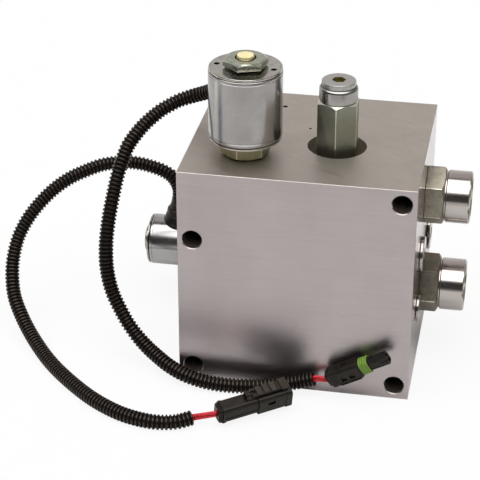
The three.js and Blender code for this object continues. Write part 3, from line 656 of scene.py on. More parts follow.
def tower_housing():
    body = rounded_bar(9.4, 12.6, 2.0, 0.3, 21.6)
    join(body, rounded_bar(9.9, 13.1, 2.2, 0.3, 2.4))
    join(body, rounded_bar(8.6, 11.6, 2.0, 20.6, 22.6), rounded_bar(6.4, 8.4, 1.6, 20.6, 42.4))
    soften(body, 0.35, 2)
    for step in (3.4, 5.0):
        join(body, soften(rounded_bar(9.9, 13.1, 2.2, step, step + 0.7), 0.15, 1))
    for side in (-1, 1):
        join(body, soften(box_shape((1.2, 1.0, 15.0), (side * 4.7, 4.6, 13.0)), 0.2, 1))
        join(body, soften(box_shape((1.0, 0.9, 15.0), (side * 4.7, -5.4, 13.4)), 0.2, 1))
    for side in (-1, 1):
        cut(body, box_shape((3.0, 2.8, 12.0), (0, side * 2.0, 38.0)))
        cut(body, box_shape((1.1, 0.9, 7.0), (side * 3.3, 0, 40.2)))
        cut(body, box_shape((0.9, 0.8, 14.0), (side * 3.3, 2.4, 32.0)))
        cut(body, box_shape((0.9, 0.8, 14.0), (side * 3.3, -2.4, 32.0)))
        cut(body, box_shape((2.6, 3.2, 3.6), (side * 4.8, -1.6, 9.6)))
        cut(body, box_shape((2.6, 3.2, 3.6), (side * 4.8, -1.6, 15.6)))
        cut(body, box_shape((3.2, 1.6, 3.0), (0, side * 6.4, 13.0)))
    return soften(body, 0.12, 1, 60)


def tower_seal():
    """Four rounded ribs on a sleeve, stretched over the nose."""
    foot = 22.9
    body = rounded_bar(7.3, 9.5, 2.4, foot, foot + 6.0)
    for step in (0, 1.7, 3.4, 5.1):
        join(body, soften(rounded_bar(8.7, 11.2, 3.0, foot + step, foot + step + 0.9), 0.35, 3, 50))
    return cut(body, rounded_bar(6.9, 8.9, 1.7, foot - 1, foot + 8))


TOWER_PLACE = in_metres(TOWER_FRAME)
tower = [
    fit(tower_housing(), "tower_shell", BLACK_NYLON, "valve", ["tower_housing"],
        TOWER_PLACE),
    fit(tower_seal(), "tower_ribbed_seal", GREEN_SILICONE, "valve", ["tower_seal"],
        TOWER_PLACE),
    fit(rear_cap(8.2, 10.8), "tower_cap", BLACK_NYLON, "valve",
        ["tower_rear_cap"], TOWER_PLACE),
]

# ---- shroud connector ----
# The female half: a long rounded black nylon housing with an open slanted mouth, and a latch arm
# sprung from a boss on its back. Three pads run along the arm and a thumb rest ends it.
def shroud_housing():
    body = rounded_bar(11.4, 12.4, 3.2, 0.3, 26)
    join(body, rounded_bar(12.0, 13.0, 3.2, 0.3, 2.2))
    join(body, rounded_bar(13.0, 14.0, 2.8, 25, 48.4), rounded_bar(13.8, 14.8, 3.0, 44.4, 48.4))
    for side in (-1, 1):
        join(body, box_shape((1.2, 4.0, 3.0), (side * 2.6, 7.4, 19.0)))
        join(body, box_shape((0.9, 1.1, 30.0), (side * 5.7, -2.2, 17.0)))
    join(body, box_shape((2.4, 1.4, 40.0), (0, -6.1, 24.0)))
    soften(body, 0.4, 2)
    cut(body, rounded_bar(9.8, 11.6, 2.2, 29, 49.4))
    for side in (-1, 1):
        cut(body, box_shape((2.0, 2.6, 5.0), (side * 6.2, 1.6, 34.0)))
    mouth_cut = box_shape((20, 8, 20), (0, -9.4, 53.0))
    mouth_cut.rotation_euler = (math.radians(-28), 0, 0)
    bpy.context.view_layer.update()
    cut(body, mouth_cut)
    return soften(body, 0.1, 1, 60)


def shroud_latch():
    root, level = 19.0, 8.4
    body = box_shape((7.0, 1.3, 21.0), (0, level + 0.9, root + 13))
    join(body, box_shape((3.2, 1.3, 5.0), (0, level + 0.9, root + 1)))
    join(body, box_shape((8.4, 2.2, 5.0), (0, level + 1.3, 44.0)))
    soften(body, 0.3, 2)
    for step in (26.5, 31.5, 36.5):
        pad = soften(box_shape((7.3, 1.0, 3.4), (0, level + 1.75, step)), 0.3, 2)
        join(body, pad)
    for step in (42.6, 44.0, 45.4):
        join(body, soften(box_shape((7.6, 0.5, 0.6), (0, level + 2.4, step)), 0.15, 1))
    cut(body, box_shape((2.4, 4.0, 4.0), (0, level + 1.0, 22.6)))
    return body


SHROUD_PLACE = in_metres(SHROUD_FRAME)
shroud = [
    fit(shroud_housing(), "shroud_shell", BLACK_NYLON, "valve",
        ["shroud_housing"], SHROUD_PLACE),
    fit(shroud_latch(), "shroud_latch_arm", BLACK_NYLON, "latch",
        ["shroud_latch"], SHROUD_PLACE),
    fit(rear_cap(10.2, 11.8), "shroud_cap", BLACK_NYLON, "valve",
        ["shroud_rear_cap"], SHROUD_PLACE),
]
# The latch's upward-facing faces take the lighter brown nylon, which is painted light on its top.
shroud[1].data.materials.append(LIT_LATCH_NYLON)
for face in shroud[1].data.polygons:
    if face.normal.y > 0.8 and face.center.y > 10.2 * MM:
        face.material_index = 1

# ---- lead boots ----
# Soft black mouldings that seal each loom to its coil. The tall coil's boot leaves the can's
# side; the short coil's is a stepped cone that rises from the can's back.
def lathe(profile, segments=96, closed=False):
    """(radius, height) points turned about +Z. A closed profile makes a ring."""
    bm = bmesh.new()
    rings = []
    for radius, height_up in profile:
        if radius < 1e-6:
            rings.append([bm.verts.new((0, 0, height_up))])
            continue
        angles = [math.tau * i / segments for i in range(segments)]
        rings.append([bm.verts.new((radius * math.cos(a), radius * math.sin(a),
                        height_up)) for a in angles])
    pairs = list(zip(rings, rings[1:])) + ([(rings[-1], rings[0])] if closed else [])
    for low, high in pairs:
        for i in range(segments):
            j = (i + 1) % segments
            corners = [low[i % len(low)], low[j % len(low)], high[j % len(high)],
                high[i % len(high)]]
            corners = list(dict.fromkeys(corners))
            if len(corners) > 2:
                bm.faces.new(corners)
    bmesh.ops.recalc_face_normals(bm, faces=bm.faces)
    return shape(bm)


def cylinder(radius, foot, head, segments=64):
    return lathe([(0, foot), (radius, foot), (radius, head), (0, head)], segments)


TOP = 152.4
LEFT, RIGHT = -76.2, 76.2
PLACE_A = Matrix.Translation(Vector((-38.5, -30, TOP)) * MM)
PLACE_B = Matrix.Translation(Vector((LEFT, 42, 43.5)) * MM) @ Matrix.Rotation(-math.pi / 2, 4, "Y")
CAN_A, CAN_B = 23.7, 17.75


def turn_shape(body, *turns):
    for degrees, axis in turns:
        body.data.transform(Matrix.Rotation(math.radians(degrees), 4, axis))
    return body


def shift_shape(body, offset):
    body.data.transform(Matrix.Translation(offset))
    return body


def boot_a():
    body = lathe([
        (0, 22), (8.4, 22), (8.5, 25.0), (8.2, 27.0), (7.6, 27.8), (6.6, 28.4), (6.5, 29.2),
        (6.0, 29.4),
        (6.0, 30.2), (6.4, 30.4), (6.2, 32.2), (5.7, 33.0), (5.4, 34.0), (5.4, 35.9), (0, 35.9),
    ])
    turn_shape(body, (90, "Y"), (120, "Z"))
    shift_shape(body, (0, 0, 27.6))
    return cut(body, cylinder(CAN_A + 0.3, 0, 80, 96))


def boot_b():
    body = lathe([
        (0, 15), (11.2, 15), (11.3, 18.2), (11.0, 18.9), (10.2, 20.2), (9.6, 22.0), (9.1, 22.3),
        (8.9, 24.4),
        (8.4, 26.2), (7.9, 26.7), (6.8, 27.0), (6.7, 28.6), (6.1, 28.9), (6.1, 30.4), (5.7, 30.7),
        (5.6, 32.6), (5.4, 33.2), (5.2, 34.7), (0, 34.7),
    ])
    turn_shape(body, (90, "Y"))
    shift_shape(body, (0, 0, 22.3))
    return cut(body, cylinder(CAN_B + 0.3, -10, 80, 96))


boots = [
    fit(boot_a(), "boot_a", BLACK_NYLON, "valve", ["lead_boot_a"], PLACE_A),
    fit(boot_b(), "boot_b", BLACK_NYLON, "valve", ["lead_boot_b"], PLACE_B),
]

# ---- manifold block ----
# A block of aluminium, six inches wide and high, sawn from bar and face-milled on every side.
# Four bolt holes run through it, and the relief cartridge stands in a deep counterbore on top.
BLOCK = {"width": 152.4, "depth": 133.35, "height": 152.4, "edge": 0.25}
BOLTS = {"radius": 6.35, "places": [(-66.7, 104.8), (66.7, 142.2), (66.7, 10.0), (-66.7, 10.6)]}
RELIEF_PLACE = (18.2, -10.5, TOP)
PORTS = {"upper": (8.0, 113.6, 70), "lower": (1.0, 51.5, 84)}
PLUGS = [
    ("port_plug_middle", -17.0, 82.0, 12.0, 2.5), ("port_plug_front", -28.6, 48.0, 9.0, 2.3),
    ("port_plug_rear", 36.0, 70.0, 11.0, 2.6),
]


def bolt_hole(x, z):
    radius, half = BOLTS["radius"], BLOCK["depth"] / 2
    tool = lathe([
        (0, -half - 1), (radius + 1.5, -half - 1), (radius, -half + 0.5), (radius, half - 0.5),
        (radius + 1.5, half + 1), (0, half + 1),
    ], 64)
    turn_shape(tool, (90, "X"))
    return shift_shape(tool, (x, 0, z))


def port_hole(y, z, depth):
    tool = lathe([
        (0, 1), (15.5, 1), (15.5, -2.4), (13.2, -2.4), (13.2, -18), (8, -22), (8, -depth),
        (0, -depth - 3),
    ], 64)
    turn_shape(tool, (90, "Y"))
    return shift_shape(tool, (RIGHT, y, z))


def plug_hole(y, z, radius):
    boss = radius * 0.74 + 0.3
    tool = lathe([(0, 1), (boss, 1), (boss, -13), (boss - 3, -16), (0, -16)], 64)
    turn_shape(tool, (90, "Y"))
    return shift_shape(tool, (RIGHT, y, z))


def manifold_block():
    size = (BLOCK["width"], BLOCK["depth"], BLOCK["height"])
    body = soften(box_shape(size, (0, 0, TOP / 2)), BLOCK["edge"], 1)
    cut(body, *[bolt_hole(x, z) for x, z in BOLTS["places"]])
    counterbore = lathe([
        (0, 1), (19.6, 1), (19.05, -0.35), (19.05, -12.5), (11.7, -12.5), (11.7, -30), (10.7, -33),
        (10.7, -74), (0, -78),
    ])
    cut(body, shift_shape(counterbore, RELIEF_PLACE))
    cavity_a = lathe([(0, 1), (15, 1), (13.7, -1), (13.7, -14), (11.1, -17), (11.1, -72), (0, -76)])
    cut(body, shift_shape(cavity_a, (-38.5, -30, TOP)))
    cavity_b = lathe([(0, 1), (12.2, 1), (10.9, -1), (10.9, -14), (9.1, -17), (9.1, -56), (0, -60)])
    cut(body, shift_shape(turn_shape(cavity_b, (-90, "Y")), (LEFT, 42, 43.5)))
    cut(body, *[port_hole(*port) for port in PORTS.values()])
    cut(body, *[plug_hole(y, z, radius) for _, y, z, radius, _ in PLUGS])
    for x, y, radius in ((-2.7, 12.7, 0.9), (-24.6, 44.4, 1.7)):
        cut(body, shift_shape(lathe([(0, 1), (radius, 1), (radius, -5), (0, -5.6)], 24),
                (x, y, TOP)))
    return body


def streaks_effect():
    """Cutter marks: fine parallel lines along one direction, and broad soft streaks with them."""
    tree, given, out = effect("cutter_marks", {
        "Vector": (VECTOR, None), "Stretch": (VECTOR, (40.0, 40.0, 3000.0)),
    }, {"Mask": FLOAT, "Height": FLOAT})
    lined = node(tree, "ShaderNodeVectorMath", {0: given["Vector"], 1: given["Stretch"]},
        operation="MULTIPLY")
    fine = node(tree, "ShaderNodeTexNoise",
        {"Vector": lined.outputs[0], "Scale": 1.0, "Detail": 3.0}).outputs[0]
    broad_scale = node(tree, "ShaderNodeVectorMath", {
        0: lined.outputs[0], 1: (0.22, 0.22, 0.22),
    }, operation="MULTIPLY")
    broad = node(tree, "ShaderNodeTexNoise",
        {"Vector": broad_scale.outputs[0], "Scale": 1.0}).outputs[0]
    both = math_node(tree, "MULTIPLY_ADD", broad, 0.5, fine)
    tone = math_node(tree, "MULTIPLY_ADD", both, 1.8, -0.85)
    tree.links.new(node(tree, "ShaderNodeClamp", {0: tone}).outputs[0], out["Mask"])
    tree.links.new(both, out["Height"])
    return tree


CUTTER_MARKS = streaks_effect()


def scuffs_effect():
    """Thin stray scratches that run at a slant: Mask is 1 along a scratch and 0 elsewhere."""
    tree, given, out = effect("scuffs", {
        "Vector": (VECTOR, None), "Scale": (FLOAT, 60.0), "Width": (FLOAT, 0.012),
    }, {"Mask": FLOAT})
    warped = node(tree, "ShaderNodeTexNoise", {
        "Vector": given["Vector"], "Scale": given["Scale"], "Detail": 1.0,
    }).outputs[0]
    band = math_node(tree, "ABSOLUTE", math_node(tree, "SUBTRACT", warped, 0.5))
    line = node(tree, "ShaderNodeMapRange", {0: band, 1: 0.0, 2: given["Width"], 3: 1.0, 4: 0.0})
    rare = node(tree, "ShaderNodeTexNoise", {
        "Vector": given["Vector"], "Scale": math_node(tree, "MULTIPLY", given["Scale"], 0.37),
    }).outputs[0]
    where = node(tree, "ShaderNodeMapRange", {0: rare, 1: 0.56, 2: 0.66})
    tree.links.new(math_node(tree, "MULTIPLY", line.outputs[0], where.outputs[0]), out["Mask"])
    return tree


SCUFFS = scuffs_effect()


def tint(tree, mask, amount, under, over):
    """Lays one colour over another, as strongly as a mask times an amount."""
    laid = math_node(tree, "MULTIPLY", mask, amount)
    made = node(tree, "ShaderNodeMix", {"Factor": laid, 6: under, 7: (*over, 1)}, data_type="RGBA")
    return made.outputs[2]


def block_material():
    """Milled aluminium gone slightly pink-grey, lined level on its sides and across on its top; the top
    is painted lighter and warmer than the sides as painted light.
    """
    made, tree, shader = material("milled_aluminium", Metallic=1.0)
    spot = here(tree)
    facing = node(tree, "ShaderNodeNewGeometry").outputs["True Normal"]
    upward = math_node(tree, "ABSOLUTE",
        node(tree, "ShaderNodeSeparateXYZ", {0: facing}).outputs["Z"])
    on_top = node(tree, "ShaderNodeMapRange", {0: upward, 1: 0.5, 2: 0.8}).outputs[0]
    level = place(tree, CUTTER_MARKS, Vector=spot, Stretch=(55.0, 55.0, 2600.0))
    slanted = node(tree, "ShaderNodeMapping",
        {"Vector": spot, "Rotation": (0, 0, math.radians(32))})
    across = place(tree, CUTTER_MARKS, Vector=slanted.outputs[0], Stretch=(60.0, 1500.0, 60.0))
    lines = node(tree, "ShaderNodeMix",
        {"Factor": on_top, 2: level["Mask"], 3: across["Mask"]}).outputs[0]
    heights = node(tree, "ShaderNodeMix",
        {"Factor": on_top, 2: level["Height"], 3: across["Height"]}).outputs[0]
    upright = node(tree, "ShaderNodeVectorMath", {0: spot, 1: (90.0, 90.0, 14.0)},
        operation="MULTIPLY")
    streak = place(tree, PATCHES, Vector=upright.outputs[0], Scale=0.6, Contrast=2.2)["Mask"]
    cloud = place(tree, PATCHES, Vector=spot, Scale=28.0, Contrast=2.0)["Mask"]
    scratch = place(tree, SCUFFS, Vector=spot, Scale=22.0, Width=0.006)["Mask"]
    # The top's colours are lighter and warmer than the sides' colours: painted light on the upward
    # face.
    side_colour = blend_colour(tree, lines, (0.440, 0.391, 0.394), (0.505, 0.451, 0.454))
    lit_top_colour = blend_colour(tree, lines, (0.500, 0.450, 0.390), (0.590, 0.540, 0.472))
    milled = node(tree, "ShaderNodeMix", {"Factor": on_top, 6: side_colour, 7: lit_top_colour},
        data_type="RGBA")
    clouded = tint(tree, cloud, 0.35, milled.outputs[2], (0.39, 0.352, 0.34))
    streaked = tint(tree, streak, 0.22, clouded, (0.35, 0.305, 0.31))
    scratched = tint(tree, scratch, 0.4, streaked, (0.24, 0.22, 0.215))
    tree.links.new(scratched, shader.inputs["Base Color"])
    sideways = math_node(tree, "ABSOLUTE",
        node(tree, "ShaderNodeSeparateXYZ", {0: facing}).outputs["X"])
    ground = node(tree, "ShaderNodeMapRange",
        {0: sideways, 1: 0.5, 2: 0.8, 3: 0.26, 4: 0.11}).outputs[0]
    matte = math_node(tree, "MULTIPLY_ADD", on_top, 0.17, ground)
    rough = math_node(tree, "MULTIPLY_ADD", lines, 0.08,
        math_node(tree, "MULTIPLY_ADD", cloud, 0.05, matte))
    tree.links.new(rough, shader.inputs["Roughness"])
    bump(tree, shader, heights, 0.20, 0.00004)
    return made


MILLED_ALUMINIUM = block_material()
block = fit(manifold_block(), "block", MILLED_ALUMINIUM, "valve",
    ["manifold_block"])


def bored_material(name, metal, light, dark):
    """The walls of the bored holes: browner and duller than the milled faces, and painted darker as
    shade inside them.
    """
    made, tree, shader = material(name, Metallic=metal)
    spot = here(tree)
    cloud = place(tree, PATCHES, Vector=spot, Scale=120.0, Contrast=2.0)["Mask"]
    ring = place(tree, CUTTER_MARKS, Vector=spot, Stretch=(60.0, 60.0, 2400.0))
    colour = blend_colour(tree, cloud, light, dark)
    tree.links.new(colour, shader.inputs["Base Color"])
    tree.links.new(blend_value(tree, ring["Mask"], 0.40, 0.55), shader.inputs["Roughness"])
    bump(tree, shader, ring["Height"], 0.2, 0.00004)
    return made


# Bolt-hole walls are painted very dark and counterbore walls somewhat darker than the milled faces:
# painted shade in the holes.
block.data.materials.append(bored_material("drilled_aluminium_painted_shade", 0.6, (0.17, 0.14, 0.115),
        (0.10, 0.08, 0.07)))
block.data.materials.append(bored_material("counterbored_aluminium_painted_shade", 0.1, (0.44, 0.37, 0.30),
        (0.28, 0.23, 0.19)))
# Faces inside the block's outline take the painted-shade bore materials.
half_width, half_depth = BLOCK["width"] / 2 - 0.6, BLOCK["depth"] / 2 - 0.8
for face in block.data.polygons:
    centre = face.center / MM
    if abs(centre.x) < half_width and abs(centre.y) < half_depth and 0.6 < centre.z < TOP - 0.5:
        from_relief = (centre - Vector(RELIEF_PLACE)).xy.length
        face.material_index = 2 if from_relief < 20 and centre.z > TOP - 13 else 1

# ---- cartridges in the block ----
# Each solenoid valve screws in as one cartridge: a zinc-plated steel hexagon and thread above a
# ported nose. The dull plate has gone slightly yellow-green.
def hex_outline(flats, turn):
    corner = flats / math.sqrt(3)
    angles = [math.radians(turn + 60 * i) for i in range(6)]
    return [(corner * math.cos(a), corner * math.sin(a)) for a in angles]


def hexagon(flats, foot, head, turn, at_foot=False, at_head=True, worn=0.32):
    """A hexagon with its corners taken off at 30 degrees."""
    corner, face = flats / math.sqrt(3) + 0.2, flats * 0.475
    drop = (corner - face) * math.tan(math.radians(30))
    profile = [(0, foot)]
    profile += [(face, foot), (corner, foot + drop)] if at_foot else [(corner, foot)]
    profile += [(corner, head - drop), (face, head)] if at_head else [(corner, head)]
    body = soften(prism(hex_outline(flats, turn), foot, head), worn, 2)
    return combine(body, lathe(profile + [(0, head)], 96), "INTERSECT")


def thread(radius, depth, foot, head, pitch=1.5):
    """Profile points of a run of screw threads, from foot to head."""
    points, turns = [], max(1, int(abs(head - foot) / pitch))
    step = (head - foot) / turns
    for i in range(turns):
        start = foot + i * step
        points += [(radius - depth, start), (radius, start + 0.45 * step),
            (radius, start + 0.55 * step)]
    return points + [(radius - depth, head)]


def rings_effect():
    """Turning marks: fine rings about the piece's own Z axis, on its wall and on its faces."""
    tree, given, out = effect("turning_marks", {
        "Vector": (VECTOR, None), "Fineness": (FLOAT, 2500.0),
    }, {"Mask": FLOAT, "Height": FLOAT})
    parts = node(tree, "ShaderNodeSeparateXYZ", {0: given["Vector"]})
    flat = node(tree, "ShaderNodeCombineXYZ", {0: parts.outputs["X"], 1: parts.outputs["Y"]})
    reach = node(tree, "ShaderNodeVectorMath", {0: flat.outputs[0]},
        operation="LENGTH").outputs["Value"]
    along = math_node(tree, "MULTIPLY", math_node(tree, "ADD", reach, parts.outputs["Z"]),
        given["Fineness"])
    line = node(tree, "ShaderNodeTexNoise", {"W": along, "Scale": 1.0, "Detail": 3.0},
        noise_dimensions="1D")
    mask = math_node(tree, "MULTIPLY_ADD", line.outputs[0], 2.0, -0.5)
    tree.links.new(node(tree, "ShaderNodeClamp", {0: mask}).outputs[0], out["Mask"])
    tree.links.new(line.outputs[0], out["Height"])
    return tree


TURNING_MARKS = rings_effect()


def zinc(name, light, dark, smooth, dull, rings=0.10, speckle=0.05, patch_scale=45.0,
    grain_scale=2600.0):
    """Zinc plate over turned steel: rings from the lathe, cloudy plate and a few scuffs."""
    made, tree, shader = material(name, Metallic=1.0)
    spot = here(tree)
    turned = place(tree, TURNING_MARKS, Vector=spot, Fineness=2600.0)
    cloud = place(tree, PATCHES, Vector=spot, Scale=patch_scale, Contrast=2.4)["Mask"]
    grain = place(tree, GRAIN, Vector=spot, Scale=grain_scale)
    scratch = place(tree, SCUFFS, Vector=spot, Scale=90.0, Width=0.010)["Mask"]
    plated = blend_colour(tree, cloud, light, dark)
    ringed = tint(tree, turned["Mask"], 0.25, plated, tuple(0.78 * c for c in dark))
    specked = tint(tree, grain["Mask"], min(1.0, speckle * 4), ringed,
        tuple(min(1, 1.45 * c) for c in light))
    scuffed = tint(tree, scratch, 0.35, specked, tuple(0.55 * c for c in dark))
    tree.links.new(scuffed, shader.inputs["Base Color"])
    rough = math_node(tree, "MULTIPLY_ADD", grain["Mask"], speckle,
        blend_value(tree, cloud, smooth, dull))
    tree.links.new(rough, shader.inputs["Roughness"])
    field = math_node(tree, "MULTIPLY_ADD", grain["Height"], speckle * 6, turned["Height"])
    bump(tree, shader, field, rings, 0.00005)
    return made


BRIGHT_ZINC = zinc("bright_zinc", (0.380, 0.364, 0.355), (0.285, 0.272, 0.264), 0.12, 0.21, 0.10,
    0.05, 70.0)
DULL_ZINC = zinc("dull_zinc", (0.29, 0.275, 0.175), (0.18, 0.17, 0.11), 0.20, 0.32, 0.15, 0.12,
    60.0, 1300.0)


def mark_faces(body, material_used, test):
    """Gives a second material to the faces whose centre and normal pass a test."""
    body.data.materials.append(material_used)
    index = len(body.data.materials) - 1
    for face in body.data.polygons:
        if test(face.center / MM, face.normal):
            face.material_index = index


def highlight_edge(turn, foot, head, inside):
    """A test for the rounded strips between a hexagon's flats, which take a painted highlight."""
    def test(centre, normal):
        if not foot < centre.z < head or Vector(centre[:2]).length < inside or abs(normal.z) > 0.5:
            return False
        across = (math.degrees(math.atan2(normal.y, normal.x)) - turn - 30) % 60
        return 7 < across < 53
    return test


# Pale zinc laid on hexagon edges and chamfers as a painted highlight.
EDGE_HIGHLIGHT_ZINC = zinc("edge_highlight_zinc", (0.72, 0.70, 0.60), (0.60, 0.58, 0.50), 0.14, 0.22, 0.1, 0.05)


def cartridge(flats, hex_top, turn, major, nose, depth, bore):
    stem = [(bore, 0.3), (major - 1, 0.3), *thread(major, 0.7, -1.2, -13.6), (nose - 0.4, -14.4),
        (nose, -16.5)]
    stem += [(nose, -20), (nose - 1.2, -20), (nose - 1.2, -23), (nose, -23), (nose, -depth + 8)]
    stem += [(nose - 1.5, -depth + 6), (nose - 1.5, -depth + 2), (bore, -depth + 2)]
    body = lathe(stem, 64, closed=True)
    head = cut(hexagon(flats, 0.3, hex_top, turn, True), cylinder(bore, 0, hex_top + 1))
    join(body, head)
    for spin in (0, 90):
        drill = turn_shape(cylinder(2.5, -nose - 2, nose + 2, 32), (90, "X"), (spin, "Z"))
        cut(body, shift_shape(drill, (0, 0, -36)))
    return body


CARTRIDGE_A = fit(cartridge(28.6, 10.6, -100, 13.4, 10.8, 72, 5.85), "cartridge_a", DULL_ZINC,
    "valve",
                  ["cartridge_body_a"], PLACE_A)
# The cartridge hexagon's edges get the painted highlight.
mark_faces(CARTRIDGE_A, EDGE_HIGHLIGHT_ZINC, highlight_edge(-100, 0.3, 10.6, 14.0))
fit(cartridge(22.2, 5.4, 0, 10.6, 8.8, 56, 4.85), "cartridge_b", DULL_ZINC, "valve",
    ["cartridge_body_b"], PLACE_B)

# ---- coils ----
# A coil is wound on a bobbin and pressed into a bright zinc-plated can. A steel plate closes each
# end, and the can's rims are rolled over them, which leaves a dark seam and a bright lip.
def coil_can(radius, foot, head):
    wall, lip = 1.6, 0.85
    return lathe([
        (radius - wall, foot), (radius - lip - 0.25, foot), (radius - 0.45, foot + 0.2),
        (radius - 0.12, foot + 0.55),
        (radius, foot + 1.1), (radius, foot + 2.1), (radius - 0.22, foot + 2.4),
        (radius - 0.22, foot + 2.7),
        (radius, foot + 3.0), (radius, head - 2.2), (radius - 0.22, head - 2.0),
        (radius - 0.22, head - 1.7),
        (radius, head - 1.5), (radius, head - 0.7), (radius - 0.15, head - 0.3),
        (radius - 0.5, head),
        (radius - wall, head),
    ], 128, closed=True)


def end_plate(inner, radius, foot, thickness, bulge):
    """A steel disc with a rounded rim, standing a hair proud of the can."""
    head = foot + thickness
    return lathe([
        (inner, foot), (radius - 0.6, foot), (radius - 0.15, foot + 0.25), (radius, foot + 0.6),
        (radius, head - 0.5), (radius - 0.12, head - 0.2), (radius - 0.4, head),
        (radius - 1.6, head + bulge),
        (inner + 0.5, head + bulge), (inner, head),
    ], 128, closed=True)


PLATE_ZINC = zinc("plate_zinc", (0.50, 0.475, 0.44), (0.27, 0.26, 0.24), 0.06, 0.12, 0.10, 0.11,
    260.0, 1000.0)
fit(coil_can(CAN_A, 13.0, 57.6), "can_a", BRIGHT_ZINC, "valve", ["coil_can_a"],
    PLACE_A)
CAN_B_ZINC = zinc("short_can_zinc", (0.50, 0.49, 0.48), (0.42, 0.41, 0.40), 0.16, 0.24, 0.10, 0.05)
fit(coil_can(CAN_B, 7.4, 41.2), "can_b", CAN_B_ZINC, "valve", ["coil_can_b"],
    PLACE_B)
fit(end_plate(9.8, CAN_A - 0.35, 11.0, 1.7, 0), "base_plate_a", PLATE_ZINC, "valve",
    ["coil_base_plate_a"], PLACE_A)
fit(end_plate(7.5, CAN_B - 0.3, 5.6, 1.5, 0), "base_plate_b", PLATE_ZINC, "valve",
    ["coil_base_plate_b"], PLACE_B)


def top_plate_a():
    body = end_plate(9.8, CAN_A - 0.3, 57.9, 1.7, 0)
    for turn in (178, -8):
        angle = math.radians(turn)
        pin = shift_shape(cylinder(1.9, 57.0, 62.0, 32),
            (18.6 * math.cos(angle), 18.6 * math.sin(angle), 0))
        cut(body, pin)
    return body


fit(top_plate_a(), "top_plate_a", PLATE_ZINC, "valve", ["coil_top_plate_a"], PLACE_A)
fit(end_plate(7.5, CAN_B - 0.3, 41.5, 1.5, 0), "top_plate_b", PLATE_ZINC, "valve",
    ["coil_top_plate_b"], PLACE_B)

# ---- guide tubes and nuts ----
# The armature slides in a closed steel tube. The coil drops over the tube, and a nut on its
# threaded neck holds the coil down: a hexagon on the tall coil, a low round nut on the short one.
def guide_tube(tube, bore, foot, shoulder, neck, head, pin, recess=None):
    profile = [(bore, foot), (tube, foot), (tube, shoulder - 1), (tube - 1, shoulder)]
    profile += thread(neck, 0.5, shoulder + 0.4, head - 1.2, 1.25)
    profile += [(neck - 0.2, head - 0.5), (neck - 0.7, head)]
    if recess:
        profile += [(recess[0], head), (recess[0], recess[1])]
    else:
        profile += [(pin, head)]
    profile += [(pin, recess[1] if recess else head - 1), (pin, shoulder - 6), (bore, shoulder - 6)]
    points = [profile[0]]
    for point in profile[1:]:
        if (Vector(point) - Vector(points[-1])).length > 1e-4:
            points.append(point)
    return lathe(points, 64, closed=True)


fit(guide_tube(9.5, 8.3, 10.9, 57.2, 6.0, 66.0, 2.45, (5.5, 60.0)), "tube_a", DULL_ZINC, "valve",
    ["guide_tube_a"], PLACE_A)
fit(guide_tube(7.2, 6.0, 5.7, 40.3, 4.6, 45.2, 1.75), "tube_b", BRIGHT_ZINC, "valve",
    ["guide_tube_b"], PLACE_B)


def nut_a():
    body = join(cylinder(11.2, 60.2, 61.1, 96), hexagon(25.4, 60.8, 65.5, -100))
    return cut(body, cylinder(6.8, 59.0, 66.0))


NUT_ZINC = zinc("nut_zinc", (0.44, 0.45, 0.375), (0.22, 0.225, 0.195), 0.12, 0.22, 0.14, 0.14,
    330.0, 1000.0)
NUT_A = fit(nut_a(), "nut_a", NUT_ZINC, "valve", ["coil_nut_a"], PLACE_A)
# The nut's hexagon edges get the painted highlight.
mark_faces(NUT_A, EDGE_HIGHLIGHT_ZINC, highlight_edge(-100, 61.0, 65.5, 12.0))


def nut_b():
    return lathe([
        (4.9, 43.3), (9.2, 43.3), (9.5, 43.6), (9.5, 45.2), (9.1, 45.9), (8.4, 46.3), (5.6, 46.3),
        (4.9, 45.8),
    ], 96, closed=True)


fit(nut_b(), "nut_b", NUT_ZINC, "valve", ["coil_nut_b"], PLACE_B)

# ---- override button ----
# A yellow-passivated pin stands up through the tall coil's tube. Pressed with a finger, it pushes
# the armature down, and the valve shifts with the power off.
def brass_material():
    """Pale yellow plated face, turned, with light rubbing."""
    made, tree, shader = material("button_plate", Metallic=0.25)
    turned = place(tree, TURNING_MARKS, Vector=here(tree), Fineness=3200.0)
    rubbed = place(tree, PATCHES, Vector=here(tree), Scale=300.0, Contrast=2.5)["Mask"]
    colour = blend_colour(tree, rubbed, (0.90, 0.76, 0.36), (0.96, 0.86, 0.52))
    tree.links.new(colour, shader.inputs["Base Color"])
    tree.links.new(blend_value(tree, turned["Mask"], 0.30, 0.42), shader.inputs["Roughness"])
    bump(tree, shader, turned["Height"], 0.12, 0.00005)
    return made


BUTTON_PLATE = brass_material()
button = lathe([
    (0, 47.6), (2.2, 47.6), (2.2, 63.0), (5.35, 63.0), (5.35, 66.9), (5.2, 67.25), (4.8, 67.4),
    (0, 67.4),
], 64)
fit(button, "button", BUTTON_PLATE, "override", ["override_button"], PLACE_A)

# ---- relief cartridge ----
# The pressure relief valve: a long dull zinc hexagon that stands in the counterbore, a round
# locking cap above it, and an adjusting screw with a key socket inside the cap.
RELIEF = Matrix.Translation(Vector(RELIEF_PLACE) * MM)


def relief_hexagon():
    bore = 7.4
    stem = [(bore, -12.2), (11.0, -12.2), *thread(11.4, 0.6, -13.0, -28.6), (10.8, -29.2),
        (10.4, -32)]
    stem += [(10.4, -36), (9.2, -36), (9.2, -39), (10.4, -39), (10.4, -72), (4.6, -72), (4.6, -62),
        (bore, -62)]
    body = lathe(stem, 64, closed=True)
    head = cut(hexagon(25.4, -12.2, 33.1, -88, False, True), cylinder(bore, -14, 34.5))
    join(body, head)
    for spin in (0, 90):
        drill = turn_shape(cylinder(2.6, -13, 13, 32), (90, "X"), (spin, "Z"))
        cut(body, shift_shape(drill, (0, 0, -48)))
    return body


